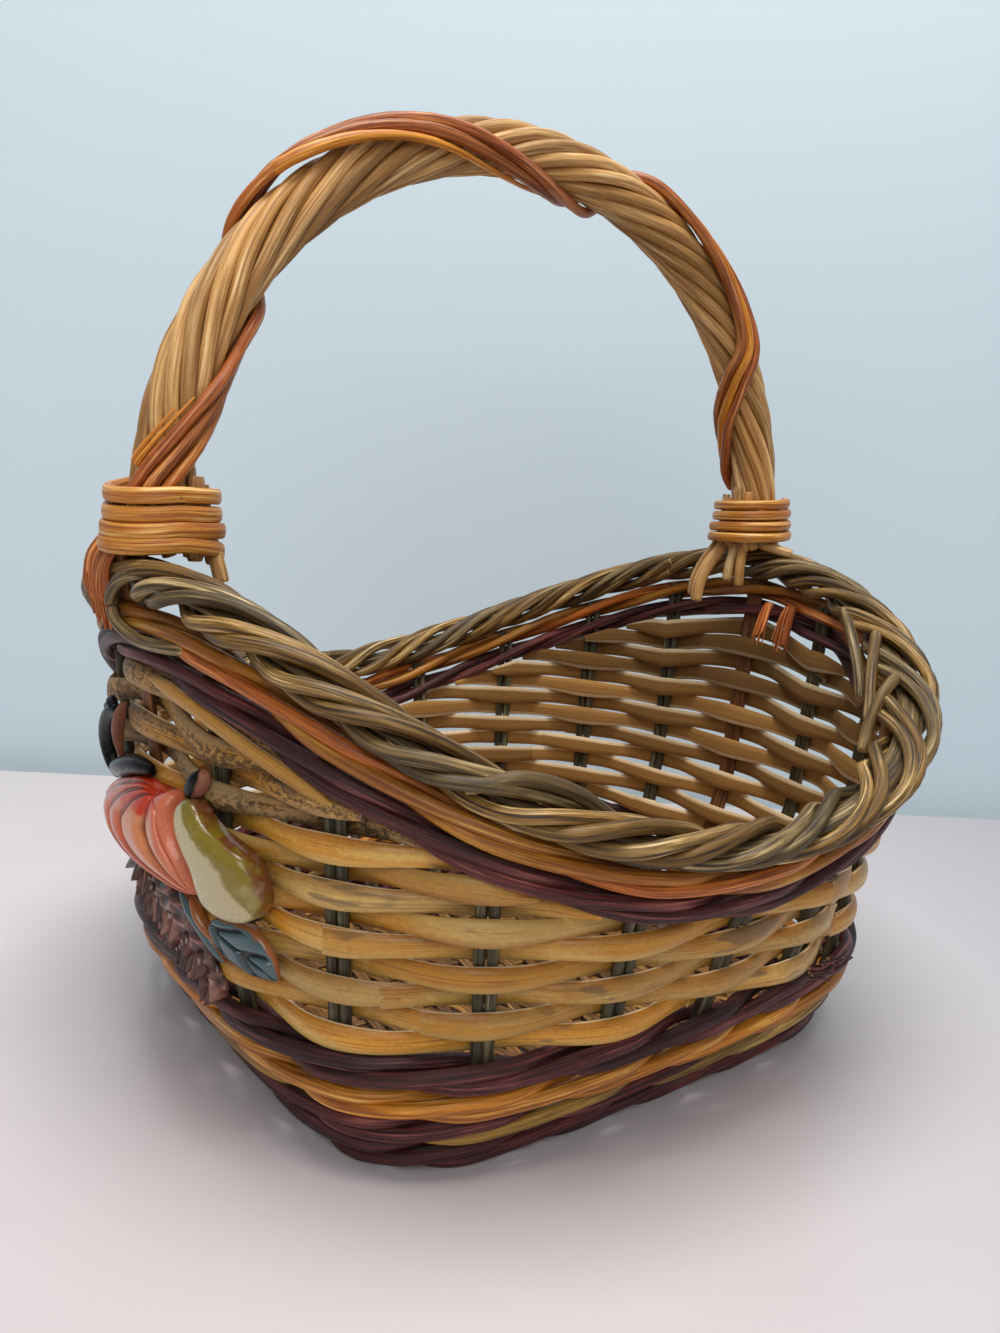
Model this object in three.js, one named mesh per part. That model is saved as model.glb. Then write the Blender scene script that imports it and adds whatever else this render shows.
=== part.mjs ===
// Harvest basket: a square base that opens into an oval saddle-shaped rim, woven from split strips
// and round rods, with a twisted bow handle lashed to both ends and a fruit ornament on one end.
// Units are millimetres, and +Z is up. The origin is on the floor, under the middle of the basket.
// X runs along the span of the handle. The ornament is on the -X end.
import * as THREE from 'three';

// Wall: plans at three heights, from nearly square at the foot to an oval near the rim, as half
// length along X, half width along Y and the power of a superellipse. The stakes run straight
// from plan to plan, and on upwards past the last.
const footHalfLength = 118.5;
const footHalfWidth = 109;
const footSquareness = 5;
const waistHeight = 75;
const waistHalfLength = 140;
const waistHalfWidth = 134;
const waistSquareness = 2.5;
const ovalHeight = 150;
const ovalHalfLength = 148;
const ovalHalfWidth = 169;
const ovalSquareness = 2;
// The foot tucks in below tuckHeight
const footTuck = 11.5;
const tuckHeight = 32;

// Saddle rim: height of the border's middle at the sides and at the handle ends
const rimSideHeight = 113;
const rimEndHeight = 180;
// How sharply the rim rises to each end: the -X end rises later and more steeply
const riseNear = 2.3;
const riseFar = 1.8;

// Frame of stakes, each a pair of rods side by side
const stakeCount = 20;
const stakeWidth = 7.8;
const stakeDepth = 3.8;
const stakeFootHeight = 1.5;
const legWidth = 9;
const legDepth = 3;
// The handle legs step outwards through the twist of the border
const legStep = 3.9;
const legStub = 4;

// Clearances between neighbouring pieces
const touchGap = 0.35;
const stripGap = 1.05;
const waleGap = 0.9;

// Split strips of the wall
const stripThickness = 2.2;
const stripHeight = 9.4;
// The rounded bark side is lower than the flat split side
const stripCrown = 0.62;
const fullRows = 5;
const packingPairs = 4;
// A packing strip's cut end is trimmed to no less than this under the slope of the upper wale
const leastStripHeight = 3;

// Wales: pairs of round rods that twine about each other and about the stakes
const lowerRodRadius = 3.0;
const upperRodRadius = 2.5;
const lowerPairs = 4;

// Border: three strands, each a pair of rods side by side, that twist round the rim
const borderStrands = 3;
const borderPairWidth = 9;
const borderPairDepth = 5;
const borderHalfWidth = 9;
const borderHalfHeight = 5;

// Floor of the basket: matting of flat canes over sticks, which show as low flat ridges. The
// halves are half its thickness at a stick and midway between two.
const floorMiddle = 6;
const floorStickPitch = 13;
const floorStickWidth = 3.2;
const floorStickHalf = 1.2;
const floorBetweenHalf = 0.6;

// Bow handle: its arch springs from above the ends of the rim. Its bundle of rods twists
// left-handed, one turn in every bowTwistPitch.
const bowSpringRise = 18.5;
const bowRise = 139.5;
const bowRadius = 10.25;
const bowLobes = 6;
const bowLobeDepth = 1.5;
const bowTwistPitch = 175;
// At its feet the bundle spreads further inwards than outwards
const bowFootOutside = 11.5;
const bowFootInside = 16.5;
const bowFootHalfY = 14.2;
const bowFootTaper = 6;

// Two rods wound round the bow: share of the bow's length and turn in degrees at each knot.
// A turn of 0 is outside the arch, 90 faces -Y, 180 is inside the arch.
const windingKnots = [
  [0.072, 60], [0.1, 95], [0.182, 180], [0.235, 280], [0.275, 350], [0.36, 398], [0.44, 450],
  [0.528, 540], [0.585, 640], [0.64, 720], [0.7, 762], [0.785, 812], [0.85, 900], [0.918, 985],
];
const windingRadius = 2.6;
const windingGap = 0.6;

// Lashings of flat cane round each foot of the bow
const caneThickness = 3;
const caneHeight = 4.2;
const caneTurns = 4;
const canePitch = 4.9;
// Slack round the corners of the foot and the leg that the cane holds together
const caneSlack = 0.8;

// Ornament: thickness of each plaque, and where it sits on the -X end. Places are given as the
// distance along the wall from the middle of that end, towards -Y, and the height.
const pumpkin = {
  along: -3, height: 93, halfWidth: 35, halfHeight: 21.5, thickness: 12, ribs: 7, ribDepth: 0.16,
};
const pear = {
  along: 49, height: 98, radius: 16, neckRadius: 8, neckLength: 21, baseDepth: 14.4, lean: -0.42,
  thickness: 10,
};
// The leaf lies below the pear and the cone below the pumpkin
const leaf = {
  along: 52, halfWidth: 17, halfHeight: 7.5, thickness: 4, slope: -0.1, taper: 0.55,
};
const cone = {
  along: 8, halfWidth: 25, halfHeight: 9, thickness: 7, teeth: 9, toothDepth: 0.12,
};
const ornamentGap = 3.5;
// Rings of a plaque, as shares of the way from its middle to its edge, from the edge inwards
const plaqueRings = [1, 0.85, 0.5];
const plaqueBackRing = 0.5;
// How far a plaque's face has dropped at its edge, as a share of the drop of a round dome
const plaqueEdgeDrop = 0.88;
// Stalks: knots as distance along and rise above the top of the fruit that they grow from
const vineRadius = 2.6;
const vineKnots = [[-2, 0.8], [-2.4, 4], [-16, 7.5], [-21, 15], [-15, 24]];
const stemRadius = 2.0;
const stemKnots = [[-1, 0.8], [-1.3, 4], [-4, 9], [-3, 15]];

// Fineness of the faceted surfaces
const stepsPerStake = 3;
const stalkSides = 6;
const tubeSides = 5;
const bowSteps = 38;
const windingSteps = 64;
const caneStepsPerTurn = 24;
const plaqueSteps = 20;
const surveySteps = 720;

const colours = {
  strip: '#c89650',
  bark: '#8a6640',
  stake: '#4b4b3c',
  leg: '#7a5836',
  plum: '#4b2d32',
  orange: '#c98235',
  rust: '#a95f2c',
  olive: '#8d8358',
  border: '#82735a',
  floor: '#96693c',
  bow: '#c8a573',
  windingRust: '#96502d',
  windingGold: '#be7832',
  cane: '#d79141',
  pumpkin: '#cf6045',
  pear: '#cdb98c',
  leaf: '#4b5f64',
  stem: '#2d2d28',
  cone: '#5f4137',
};

const basket = new THREE.Group();

function material(colour, roughness) {
  return new THREE.MeshStandardMaterial({ color: new THREE.Color(colour), roughness, metalness: 0 });
}

function addPiece(name, geometry, colour, roughness = 0.45) {
  const mesh = new THREE.Mesh(geometry, material(colour, roughness));
  mesh.name = name;
  basket.add(mesh);
  return mesh;
}

// Solids lofted through rings of points

// Turns a mesh inside out if its faces point inwards
function faceOutwards(positions, triangles) {
  const corner = (index) => new THREE.Vector3().fromArray(positions, index * 3);
  let volume = 0;
  for (let i = 0; i < triangles.length; i += 3) {
    const [a, b, c] = [corner(triangles[i]), corner(triangles[i + 1]), corner(triangles[i + 2])];
    volume += a.dot(b.cross(c)) / 6;
  }
  return volume > 0 ? triangles : triangles.reverse();
}

function solid(positions, triangles) {
  const geometry = new THREE.BufferGeometry();
  geometry.setAttribute('position', new THREE.Float32BufferAttribute(positions, 3));
  geometry.setIndex(faceOutwards(positions, triangles));
  geometry.computeVertexNormals();
  return geometry;
}

// Joins sections of equal point count, as a closed ring or as a bar with flat ends
function loft(sections, closed) {
  const sides = sections[0].length;
  const positions = sections.flat().flatMap((point) => point.toArray());
  const triangles = [];
  const spans = closed ? sections.length : sections.length - 1;
  for (let span = 0; span < spans; span += 1) {
    const here = span * sides;
    const next = ((span + 1) % sections.length) * sides;
    for (let side = 0; side < sides; side += 1) {
      const turn = (side + 1) % sides;
      triangles.push(here + side, here + turn, next + turn);
      triangles.push(here + side, next + turn, next + side);
    }
  }
  if (!closed) {
    const last = (sections.length - 1) * sides;
    addCap(positions, triangles, sections[0], 0, true);
    addCap(positions, triangles, sections[sections.length - 1], last, false);
  }
  return solid(positions, triangles);
}

// Fans a cap from the middle of a section whose first point has the given index
function addCap(positions, triangles, section, first, isStart) {
  const middle = new THREE.Vector3();
  section.forEach((point) => middle.addScaledVector(point, 1 / section.length));
  const hub = positions.length / 3;
  positions.push(...middle.toArray());
  for (let side = 0; side < section.length; side += 1) {
    const turn = (side + 1) % section.length;
    const edge = isStart ? [first + turn, first + side] : [first + side, first + turn];
    triangles.push(hub, ...edge);
  }
}

// A polygon with a flat side down and the given circumradius, as pairs of out and up
function polygon(sides, radius) {
  return Array.from({ length: sides }, (unused, side) => {
    const angle = ((side + 0.5) / sides) * 2 * Math.PI - Math.PI / 2;
    return [radius * Math.cos(angle), radius * Math.sin(angle)];
  });
}

const wallPlans = [
  {
    height: 0, halfLength: footHalfLength, halfWidth: footHalfWidth, squareness: footSquareness,
  },
  {
    height: waistHeight,
    halfLength: waistHalfLength,
    halfWidth: waistHalfWidth,
    squareness: waistSquareness,
  },
  {
    height: ovalHeight,
    halfLength: ovalHalfLength,
    halfWidth: ovalHalfWidth,
    squareness: ovalSquareness,
  },
];

// Wall of the basket. A spot on it is a place, a height, a distance out of the wall and a distance
// along it. Places count stakes: 0 is the +X end, 5 the +Y side, 10 the -X end and 15 the -Y side.

const nearEndPlace = stakeCount / 2;

function planReach(plan, angle) {
  const acrossX = Math.abs(Math.cos(angle) / plan.halfLength) ** plan.squareness;
  const acrossY = Math.abs(Math.sin(angle) / plan.halfWidth) ** plan.squareness;
  return (acrossX + acrossY) ** (-1 / plan.squareness);
}

// Where the wall's middle lies at an angle about the Z axis and a height, seen from above
function planPoint(angle, height) {
  const [floorPlan, waistPlan, ovalPlan] = wallPlans;
  const [lower, upper] = height < waistPlan.height ? [floorPlan, waistPlan] : [waistPlan, ovalPlan];
  const share = (height - lower.height) / (upper.height - lower.height);
  const reach = THREE.MathUtils.lerp(planReach(lower, angle), planReach(upper, angle), share);
  return new THREE.Vector2(reach * Math.cos(angle), reach * Math.sin(angle));
}

// The direction out of the wall, seen from above
function planNormal(angle, height) {
  const turn = Math.PI / surveySteps;
  const alongWall = planPoint(angle + turn, height).sub(planPoint(angle - turn, height));
  return new THREE.Vector2(alongWall.y, -alongWall.x).normalize();
}

// Walks round the wall at the height where the stakes are spaced evenly
const walked = [0];
for (let step = 1; step <= surveySteps; step += 1) {
  const from = planPoint(((step - 1) / surveySteps) * 2 * Math.PI, waistHeight);
  const to = planPoint((step / surveySteps) * 2 * Math.PI, waistHeight);
  walked.push(walked[step - 1] + from.distanceTo(to));
}
const stakeSpacing = walked[surveySteps] / stakeCount;

function angleOfPlace(place) {
  const turns = Math.floor(place / stakeCount);
  const distance = (place - turns * stakeCount) * stakeSpacing;
  const step = Math.max(1, walked.findIndex((length) => length >= distance - 1e-9));
  const share = (distance - walked[step - 1]) / (walked[step] - walked[step - 1]);
  return ((step - 1 + share) / surveySteps + turns) * 2 * Math.PI;
}

function wallPoint(place, height, out = 0, along = 0) {
  const angle = angleOfPlace(place);
  const point = planPoint(angle, height);
  const normal = planNormal(angle, height);
  const reach = out - footTuck * Math.max(0, 1 - height / tuckHeight);
  const x = point.x + normal.x * reach - normal.y * along;
  const y = point.y + normal.y * reach + normal.x * along;
  return new THREE.Vector3(x, y, height);
}

// Heights round the rim

function saddleRise(place) {
  const cosine = Math.cos(angleOfPlace(place));
  return Math.abs(cosine) ** (cosine < 0 ? riseNear : riseFar);
}

function rimHeight(place) {
  return rimSideHeight + (rimEndHeight - rimSideHeight) * saddleRise(place);
}

// A twined pair: half the side of its square rods, swing in height, half height of the pair and
// swing out of the wall. The squares have the area of the round rods.
const crossingSwing = Math.sin(Math.PI / stepsPerStake);
function pairSizes(rodRadius) {
  const half = rodRadius * Math.sqrt(Math.PI) / 2;
  const climb = (half + touchGap / 2) / crossingSwing;
  const halfHeight = climb * crossingSwing + half;
  const swing = stakeDepth / 2 + waleGap + half;
  return { half, climb, halfHeight, swing };
}
const lowerPair = pairSizes(lowerRodRadius);
const upperPair = pairSizes(upperRodRadius);
const lowerPitch = 2 * lowerPair.halfHeight + touchGap;
const upperPitch = 2 * upperPair.halfHeight + touchGap;
const lowerTop = lowerPairs * lowerPitch;
const borderDrop = borderHalfHeight + borderPairDepth / 2 + touchGap;
const upperOrangeDrop = borderDrop + upperPair.halfHeight;
const upperPlumDrop = upperOrangeDrop + upperPitch;
const rowCeilingDrop = upperPlumDrop + upperPair.halfHeight + touchGap;
const fullTop = rimSideHeight - rowCeilingDrop;
const fullPitch = (fullTop - lowerTop) / fullRows;

const swingAt = (place, phase) => Math.cos(Math.PI * (place + phase));
const ringPlaces = Array.from(
  { length: stakeCount * stepsPerStake },
  (unused, step) => step / stepsPerStake,
);

// Stakes and handle legs

// The outline of two rods side by side, as shares of their width and depth
const pairOutline = [[0.5, 0], [0.25, 0.5], [-0.25, 0.5], [-0.5, 0], [-0.25, -0.5], [0.25, -0.5]];

function flatBarSection(place, height, out, width, depth) {
  return pairOutline.map(([w, d]) => wallPoint(place, height, out + d * depth, w * width));
}

// The heights where a stake bends, from its foot to the given top
function stakeHeights(top) {
  return [stakeFootHeight, tuckHeight, waistHeight, top];
}

// A stake ends under the border, which slopes across the stake's width
function stakeGeometry(place) {
  const halfWay = stakeWidth / 2 / stakeSpacing;
  const top = Math.min(rimHeight(place - halfWay), rimHeight(place + halfWay)) - borderDrop;
  const heights = stakeHeights(top);
  return loft(heights.map((z) => flatBarSection(place, z, 0, stakeWidth, stakeDepth)), false);
}

const bowFootHeight = rimEndHeight + borderDrop;
const lashingTop = bowFootHeight + touchGap + caneHeight + caneTurns * canePitch;

// A flat liner that stands in the wall like a stake, goes up through the border and ends as a
// stub above the lashing
function legGeometry(place) {
  const stepFoot = rimEndHeight - borderDrop - upperPair.half;
  const stepHead = rimEndHeight - borderHalfHeight;
  const sections = stakeHeights(stepFoot).map((z) => flatBarSection(place, z, 0, legWidth, legDepth));
  sections.push(flatBarSection(place, stepHead, legStep, legWidth, legDepth));
  const gripped = flatBarSection(place, bowFootHeight, legStep, legWidth, legDepth);
  sections.push(gripped);
  const stubTop = lashingTop + legStub;
  sections.push(gripped.map((point) => new THREE.Vector3(point.x, point.y, stubTop)));
  return loft(sections, false);
}

for (let place = 0; place < stakeCount; place += 1) {
  if (place % nearEndPlace === 0) {
    const name = place === 0 ? 'handle_leg_far' : 'handle_leg_near';
    addPiece(name, legGeometry(place), colours.leg, 0.6);
  } else {
    addPiece(`stake_pair_${String(place).padStart(2, '0')}`, stakeGeometry(place), colours.stake, 0.6);
  }
}

// Floor

// Half the floor's thickness at a distance from its middle line
function floorHalf(y) {
  const fromStick = Math.abs(y - floorStickPitch * Math.round(y / floorStickPitch));
  const slope = (floorStickPitch - floorStickWidth) / 2;
  const share = THREE.MathUtils.clamp((fromStick - floorStickWidth / 2) / slope, 0, 1);
  return THREE.MathUtils.lerp(floorStickHalf, floorBetweenHalf, share);
}

// Sections across X, one after another along Y: at both edges and midway between all sticks that
// lie whole on the floor, and then at points of its rounded edge
function floorGeometry() {
  const inset = -(lowerPair.swing + lowerPair.half + touchGap);
  const quarter = ringPlaces
    .filter((place) => place < stakeCount / 4)
    .map((place) => wallPoint(place, floorMiddle - floorStickHalf, inset));
  const halfChord = (y) => {
    const after = Math.max(1, quarter.findIndex((point) => point.y >= y));
    const [before, beyond] = [quarter[after - 1], quarter[after]];
    return THREE.MathUtils.mapLinear(y, before.y, beyond.y, before.x, beyond.x);
  };
  const lastStick = Math.floor(quarter[quarter.length - 2].y / floorStickPitch - 1) * floorStickPitch;
  const lines = [];
  for (let stick = 0; stick <= lastStick; stick += floorStickPitch) {
    const steps = [-floorStickWidth / 2, floorStickWidth / 2, floorStickPitch / 2];
    lines.push(...steps.map((step) => stick + step).filter((y) => y > 0));
  }
  const lastLine = lines[lines.length - 1];
  lines.push(...quarter.map((point) => point.y).filter((y) => y > lastLine + floorBetweenHalf));
  const mirrored = [...lines].reverse().map((y) => -y);
  const sections = [...mirrored, ...lines].map((y) => {
    const [x, half] = [halfChord(Math.abs(y)), floorHalf(y)];
    const corners = [[-x, -half], [-x, half], [x, half], [x, -half]];
    return corners.map(([across, up]) => new THREE.Vector3(across, y, floorMiddle + up));
  });
  return loft(sections, false);
}
addPiece('woven_floor', floorGeometry(), colours.floor, 0.7);

// Wales and border

// One rod of a twined pair whose middle runs at heightAt, closed into a ring
function twinedRodGeometry(heightAt, sizes, phase) {
  const corners = polygon(4, sizes.half * Math.SQRT2);
  const sections = ringPlaces.map((place) => {
    const out = sizes.swing * swingAt(place, phase);
    const height = heightAt(place) + sizes.climb * Math.sin(Math.PI * (place + phase));
    return corners.map(([across, up]) => wallPoint(place, height + up, out + across));
  });
  return loft(sections, true);
}

function addTwinedPair(name, heightAt, sizes, coloursOfRods) {
  coloursOfRods.forEach((colour, rod) => {
    addPiece(`${name}_rod_${rod + 1}`, twinedRodGeometry(heightAt, sizes, rod), colour, 0.4);
  });
}

const lowerNames = ['foot_wale', 'olive_wale', 'lower_orange_wale', 'lower_plum_wale'];
const lowerColours = [
  [colours.plum, colours.plum],
  [colours.olive, colours.plum],
  [colours.orange, colours.orange],
  [colours.plum, colours.plum],
];
for (let pair = 0; pair < lowerPairs; pair += 1) {
  const middle = lowerPair.halfHeight + pair * lowerPitch;
  addTwinedPair(lowerNames[pair], () => middle, lowerPair, lowerColours[pair]);
}
addTwinedPair('upper_plum_wale', (place) => rimHeight(place) - upperPlumDrop, upperPair,
  [colours.plum, colours.plum]);
addTwinedPair('upper_orange_wale', (place) => rimHeight(place) - upperOrangeDrop, upperPair,
  [colours.orange, colours.rust]);

// Each pair of rods lies flat against the oval path that its strand twists along
function borderGeometry(strand) {
  const lead = (2 * strand) / borderStrands;
  const sections = ringPlaces.map((place) => {
    const turn = Math.PI * (place + lead);
    const out = borderHalfWidth * Math.cos(turn);
    const height = rimHeight(place) + borderHalfHeight * Math.sin(turn);
    const flat = new THREE.Vector2(-borderHalfWidth * Math.sin(turn), borderHalfHeight * Math.cos(turn));
    flat.normalize();
    return pairOutline.map(([w, d]) => {
      const along = w * borderPairWidth;
      const through = d * borderPairDepth;
      const up = flat.y * along - flat.x * through;
      return wallPoint(place, height + up, out + flat.x * along + flat.y * through);
    });
  });
  return loft(sections, true);
}
for (let strand = 0; strand < borderStrands; strand += 1) {
  addPiece(`border_strand_${strand + 1}`, borderGeometry(strand), colours.border, 0.55);
}

// Split strips

const stripSwing = stakeDepth / 2 + stripGap + stripThickness / 2;
const isAtStake = (place) => Math.abs(place - Math.round(place)) < 0.01;
const ceilingAt = (place) => rimHeight(place) - rowCeilingDrop;

// Rows of one height, counted from the foot. Strips are full height where they pass a stake and
// narrower where they cross their neighbours between stakes.
const fullRow = (row) => ({
  row,
  middle: lowerTop + (row + 0.5) * fullPitch,
  crossing: fullPitch - touchGap,
});

// A strip's section. Its bark side faces out of the wall, turned by facing about the upright.
function stripSection(place, middle, out, along, facing, height) {
  const half = stripThickness / 2;
  const corners = [[-half, -0.5], [half, -0.5 * stripCrown], [half, 0.5 * stripCrown], [-half, 0.5]];
  return corners.map(([across, up]) => wallPoint(
    place,
    middle + up * height,
    out + across * Math.cos(facing),
    along + across * Math.sin(facing),
  ));
}

// How much the underside of the upper wale trims off the top of a row
function trimAt(place, { middle, crossing }) {
  return Math.max(0, middle + crossing / 2 - ceilingAt(place));
}

function wovenSection(place, row, facing) {
  const trim = trimAt(place, row);
  const height = (isAtStake(place) ? stripHeight : row.crossing) - trim;
  const out = stripSwing * swingAt(place, row.row);
  return stripSection(place, row.middle - trim / 2, out, 0, facing, height);
}

for (let row = 0; row < fullRows; row += 1) {
  const sections = ringPlaces.map((place) => wovenSection(place, fullRow(row), 0));
  addPiece(`woven_strip_${row + 1}`, loft(sections, true), colours.strip, 0.35);
}

// Packing strips: each weaves across one end, turns back round a stake and weaves a second row.
// The top one turns round the first stake beside the handle leg, just under the upper wale.

// All of them turn on the side with the lower places and are cut off on the other side
const turnSide = -1;
const turnCentre = (stakeWidth - stakeDepth) / 2;
const turnReach = turnCentre + stripSwing + stripThickness / 2;

// Room for the packing rows at a distance from an end and what a turn there takes up
function packingRoom(endPlace, apart) {
  const reach = apart + turnReach / stakeSpacing;
  return Math.min(ceilingAt(endPlace + reach), ceilingAt(endPlace - reach)) - fullTop;
}

function packingRow(endPlace, index) {
  const pitch = packingRoom(endPlace, 1) / (2 * packingPairs);
  return {
    row: fullRows + index,
    middle: fullTop + (index + 0.5) * pitch,
    crossing: pitch - touchGap,
    pitch,
  };
}

// The same row at a place. Over the leg the rows spread to fill the rise of the rim.
function spreadRow(row, endPlace, place) {
  const room = packingRoom(endPlace, Math.abs(place - endPlace));
  const spread = Math.max(1, room / packingRoom(endPlace, 1));
  return {
    row: row.row,
    middle: fullTop + (row.middle - fullTop) * spread,
    crossing: row.pitch * spread - touchGap,
  };
}

// Steps from the middle of an end to a row's cut end under the upper wale
function stepsToCut(row, endPlace) {
  const leastLeft = (step) => row.crossing - trimAt(endPlace - (turnSide * step) / stepsPerStake, row);
  let steps = 0;
  while (leastLeft(steps + 1) >= leastStripHeight) {
    steps += 1;
  }
  return steps;
}

// The last stake that a row can turn round below the upper wale
function lastTurnStake(row, endPlace) {
  let stake = 1;
  while (trimAt(endPlace + turnSide * (stake + 1 + turnReach / stakeSpacing), row) === 0) {
    stake += 1;
  }
  return stake;
}

function packingGeometry(endPlace, pair) {
  const lower = packingRow(endPlace, 2 * pair);
  const upper = packingRow(endPlace, 2 * pair + 1);
  const turnStake = lastTurnStake(upper, endPlace);
  const placeAt = (step) => endPlace + (turnSide * step) / stepsPerStake;
  const turnStep = turnStake * stepsPerStake;
  const turnPlace = placeAt(turnStep);
  const startSide = swingAt(turnPlace, lower.row);
  const sections = [];
  for (let step = -stepsToCut(lower, endPlace); step <= turnStep; step += 1) {
    sections.push(wovenSection(placeAt(step), spreadRow(lower, endPlace, placeAt(step)), 0));
  }
  [0.25, 0.5, 0.75].forEach((share) => {
    const angle = share * Math.PI;
    const out = startSide * stripSwing * Math.cos(angle);
    const along = turnSide * (turnCentre + stripSwing * Math.sin(angle));
    const middle = lower.middle + share * lower.pitch;
    const facing = startSide * turnSide * angle;
    sections.push(stripSection(turnPlace, middle, out, along, facing, lower.crossing));
  });
  for (let step = turnStep; step >= -stepsToCut(upper, endPlace); step -= 1) {
    sections.push(wovenSection(placeAt(step), spreadRow(upper, endPlace, placeAt(step)), Math.PI));
  }
  return loft(sections, false);
}

['near', 'far'].forEach((end) => {
  const endPlace = end === 'near' ? nearEndPlace : 0;
  for (let pair = 0; pair < packingPairs; pair += 1) {
    const colour = pair < packingPairs / 2 ? colours.strip : colours.bark;
    addPiece(`packing_strip_${end}_${pair + 1}`, packingGeometry(endPlace, pair), colour, 0.5);
  }
});

// Bow handle

// Two upright legs joined by half an ellipse, from the -X foot to the +X foot. Each foot stands
// just inside its handle leg.
const legInside = wallPoint(0, bowFootHeight, legStep - legDepth / 2).x;
const bowHalfSpan = legInside - touchGap - bowFootOutside;
const bowSpringHeight = rimEndHeight + bowSpringRise;
const bow = new THREE.CurvePath();
const springPoint = (end) => new THREE.Vector3(end * bowHalfSpan, 0, bowSpringHeight);
const footPoint = (end) => new THREE.Vector3(end * bowHalfSpan, 0, bowFootHeight);
class BowArch extends THREE.Curve {
  getPoint(share, target = new THREE.Vector3()) {
    const angle = Math.PI * (1 - share);
    const height = bowSpringHeight + bowRise * Math.sin(angle);
    return target.set(bowHalfSpan * Math.cos(angle), 0, height);
  }
}
bow.add(new THREE.LineCurve3(footPoint(-1), springPoint(-1)));
bow.add(new BowArch());
bow.add(new THREE.LineCurve3(springPoint(1), footPoint(1)));
const bowLength = bow.getLength();

// A point beside the bow: offsets from its middle line, outwards from the arch and towards -Y
function besideBow(share, outwards, frontwards) {
  const point = bow.getPointAt(share);
  const tangent = bow.getTangentAt(share);
  const outside = new THREE.Vector3(-tangent.z, 0, tangent.x);
  return point.addScaledVector(outside, outwards).add(new THREE.Vector3(0, -frontwards, 0));
}

// The twisted bundle of rods, spread wider at its two feet
function bowGeometry() {
  const points = 2 * bowLobes;
  const sections = [];
  for (let step = 0; step <= bowSteps; step += 1) {
    const share = step / bowSteps;
    const distance = share * bowLength;
    const fromFoot = Math.min(distance, bowLength - distance);
    const grip = lashingTop - bowFootHeight;
    const spread = THREE.MathUtils.clamp(1 - (fromFoot - grip) / bowFootTaper, 0, 1);
    const section = [];
    for (let point = 0; point < points; point += 1) {
      const angle = (point / points - distance / bowTwistPitch) * 2 * Math.PI;
      const valley = point % 2 ? bowLobeDepth : 0;
      const footX = Math.cos(angle) > 0 ? bowFootOutside : bowFootInside;
      const halfX = THREE.MathUtils.lerp(bowRadius, footX, spread) - valley;
      const halfY = THREE.MathUtils.lerp(bowRadius, bowFootHalfY, spread) - valley;
      section.push(besideBow(share, halfX * Math.cos(angle), halfY * Math.sin(angle)));
    }
    sections.push(section);
  }
  return loft(sections, false);
}
addPiece('handle_bow', bowGeometry(), colours.bow, 0.5);

const windingRoute = new THREE.CatmullRomCurve3(windingKnots.map(([share, degrees]) => (
  new THREE.Vector3(share * bowLength, THREE.MathUtils.degToRad(degrees), 0)
)));

// The middle line of one winding rod: side is -1 or +1, across the direction of winding
function windingLine(side) {
  const reach = bowRadius + windingGap + windingRadius;
  const offset = (side * (2 * windingRadius + windingGap)) / 2;
  const line = [];
  for (let step = 0; step <= windingSteps; step += 1) {
    const spot = windingRoute.getPoint(step / windingSteps);
    const heading = windingRoute.getTangent(step / windingSteps);
    const course = new THREE.Vector2(heading.x, heading.y * reach).normalize();
    const distance = spot.x - course.y * offset;
    const angle = spot.y + (course.x * offset) / reach;
    const share = distance / bowLength;
    line.push(besideBow(share, reach * Math.cos(angle), reach * Math.sin(angle)));
  }
  return line;
}

// Sections of a tube along a line of points. The second axis keeps to the given upright.
function tubeSections(line, corners, upright) {
  return line.map((point, index) => {
    const before = line[Math.max(0, index - 1)];
    const after = line[Math.min(line.length - 1, index + 1)];
    const tangent = new THREE.Vector3().subVectors(after, before).normalize();
    const side = new THREE.Vector3().crossVectors(tangent, upright(point)).normalize();
    const top = new THREE.Vector3().crossVectors(side, tangent);
    return corners.map(([across, up]) => (
      point.clone().addScaledVector(side, across).addScaledVector(top, up)
    ));
  });
}

const bowCentre = new THREE.Vector3(0, 0, bowSpringHeight);
const awayFromBowCentre = (point) => new THREE.Vector3().subVectors(point, bowCentre).normalize();
['rust', 'gold'].forEach((name, index) => {
  const side = index === 0 ? -1 : 1;
  const corners = polygon(tubeSides, windingRadius);
  const sections = tubeSections(windingLine(side), corners, awayFromBowCentre);
  const colour = index === 0 ? colours.windingRust : colours.windingGold;
  addPiece(`handle_winding_${name}`, loft(sections, false), colour, 0.35);
});

// Lashings: flat cane wound round the foot of the bow and the handle leg together

function lashingLine(end) {
  const legOuter = wallPoint(0, bowFootHeight, legStep + legDepth / 2).x;
  const inner = bowHalfSpan - bowFootInside - touchGap;
  const outer = legOuter + touchGap;
  const halfX = (outer - inner) / 2 + caneSlack + caneThickness / 2;
  const halfY = bowFootHalfY + touchGap + caneSlack + caneThickness / 2;
  const middleX = end * (outer + inner) / 2;
  const steps = caneTurns * caneStepsPerTurn;
  const start = bowFootHeight + touchGap + caneHeight / 2;
  const line = [];
  for (let step = 0; step <= steps; step += 1) {
    const angle = (step / caneStepsPerTurn) * 2 * Math.PI - Math.PI / 2;
    const height = start + (canePitch * step) / caneStepsPerTurn;
    line.push(new THREE.Vector3(middleX + halfX * Math.cos(angle), halfY * Math.sin(angle), height));
  }
  // Both ends run straight on for one width of the cane
  const runOut = (from, to) => to.clone().addScaledVector(to.clone().sub(from).normalize(), caneHeight);
  line.unshift(runOut(line[1], line[0]));
  line.push(runOut(line[line.length - 2], line[line.length - 1]));
  return line;
}

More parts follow.
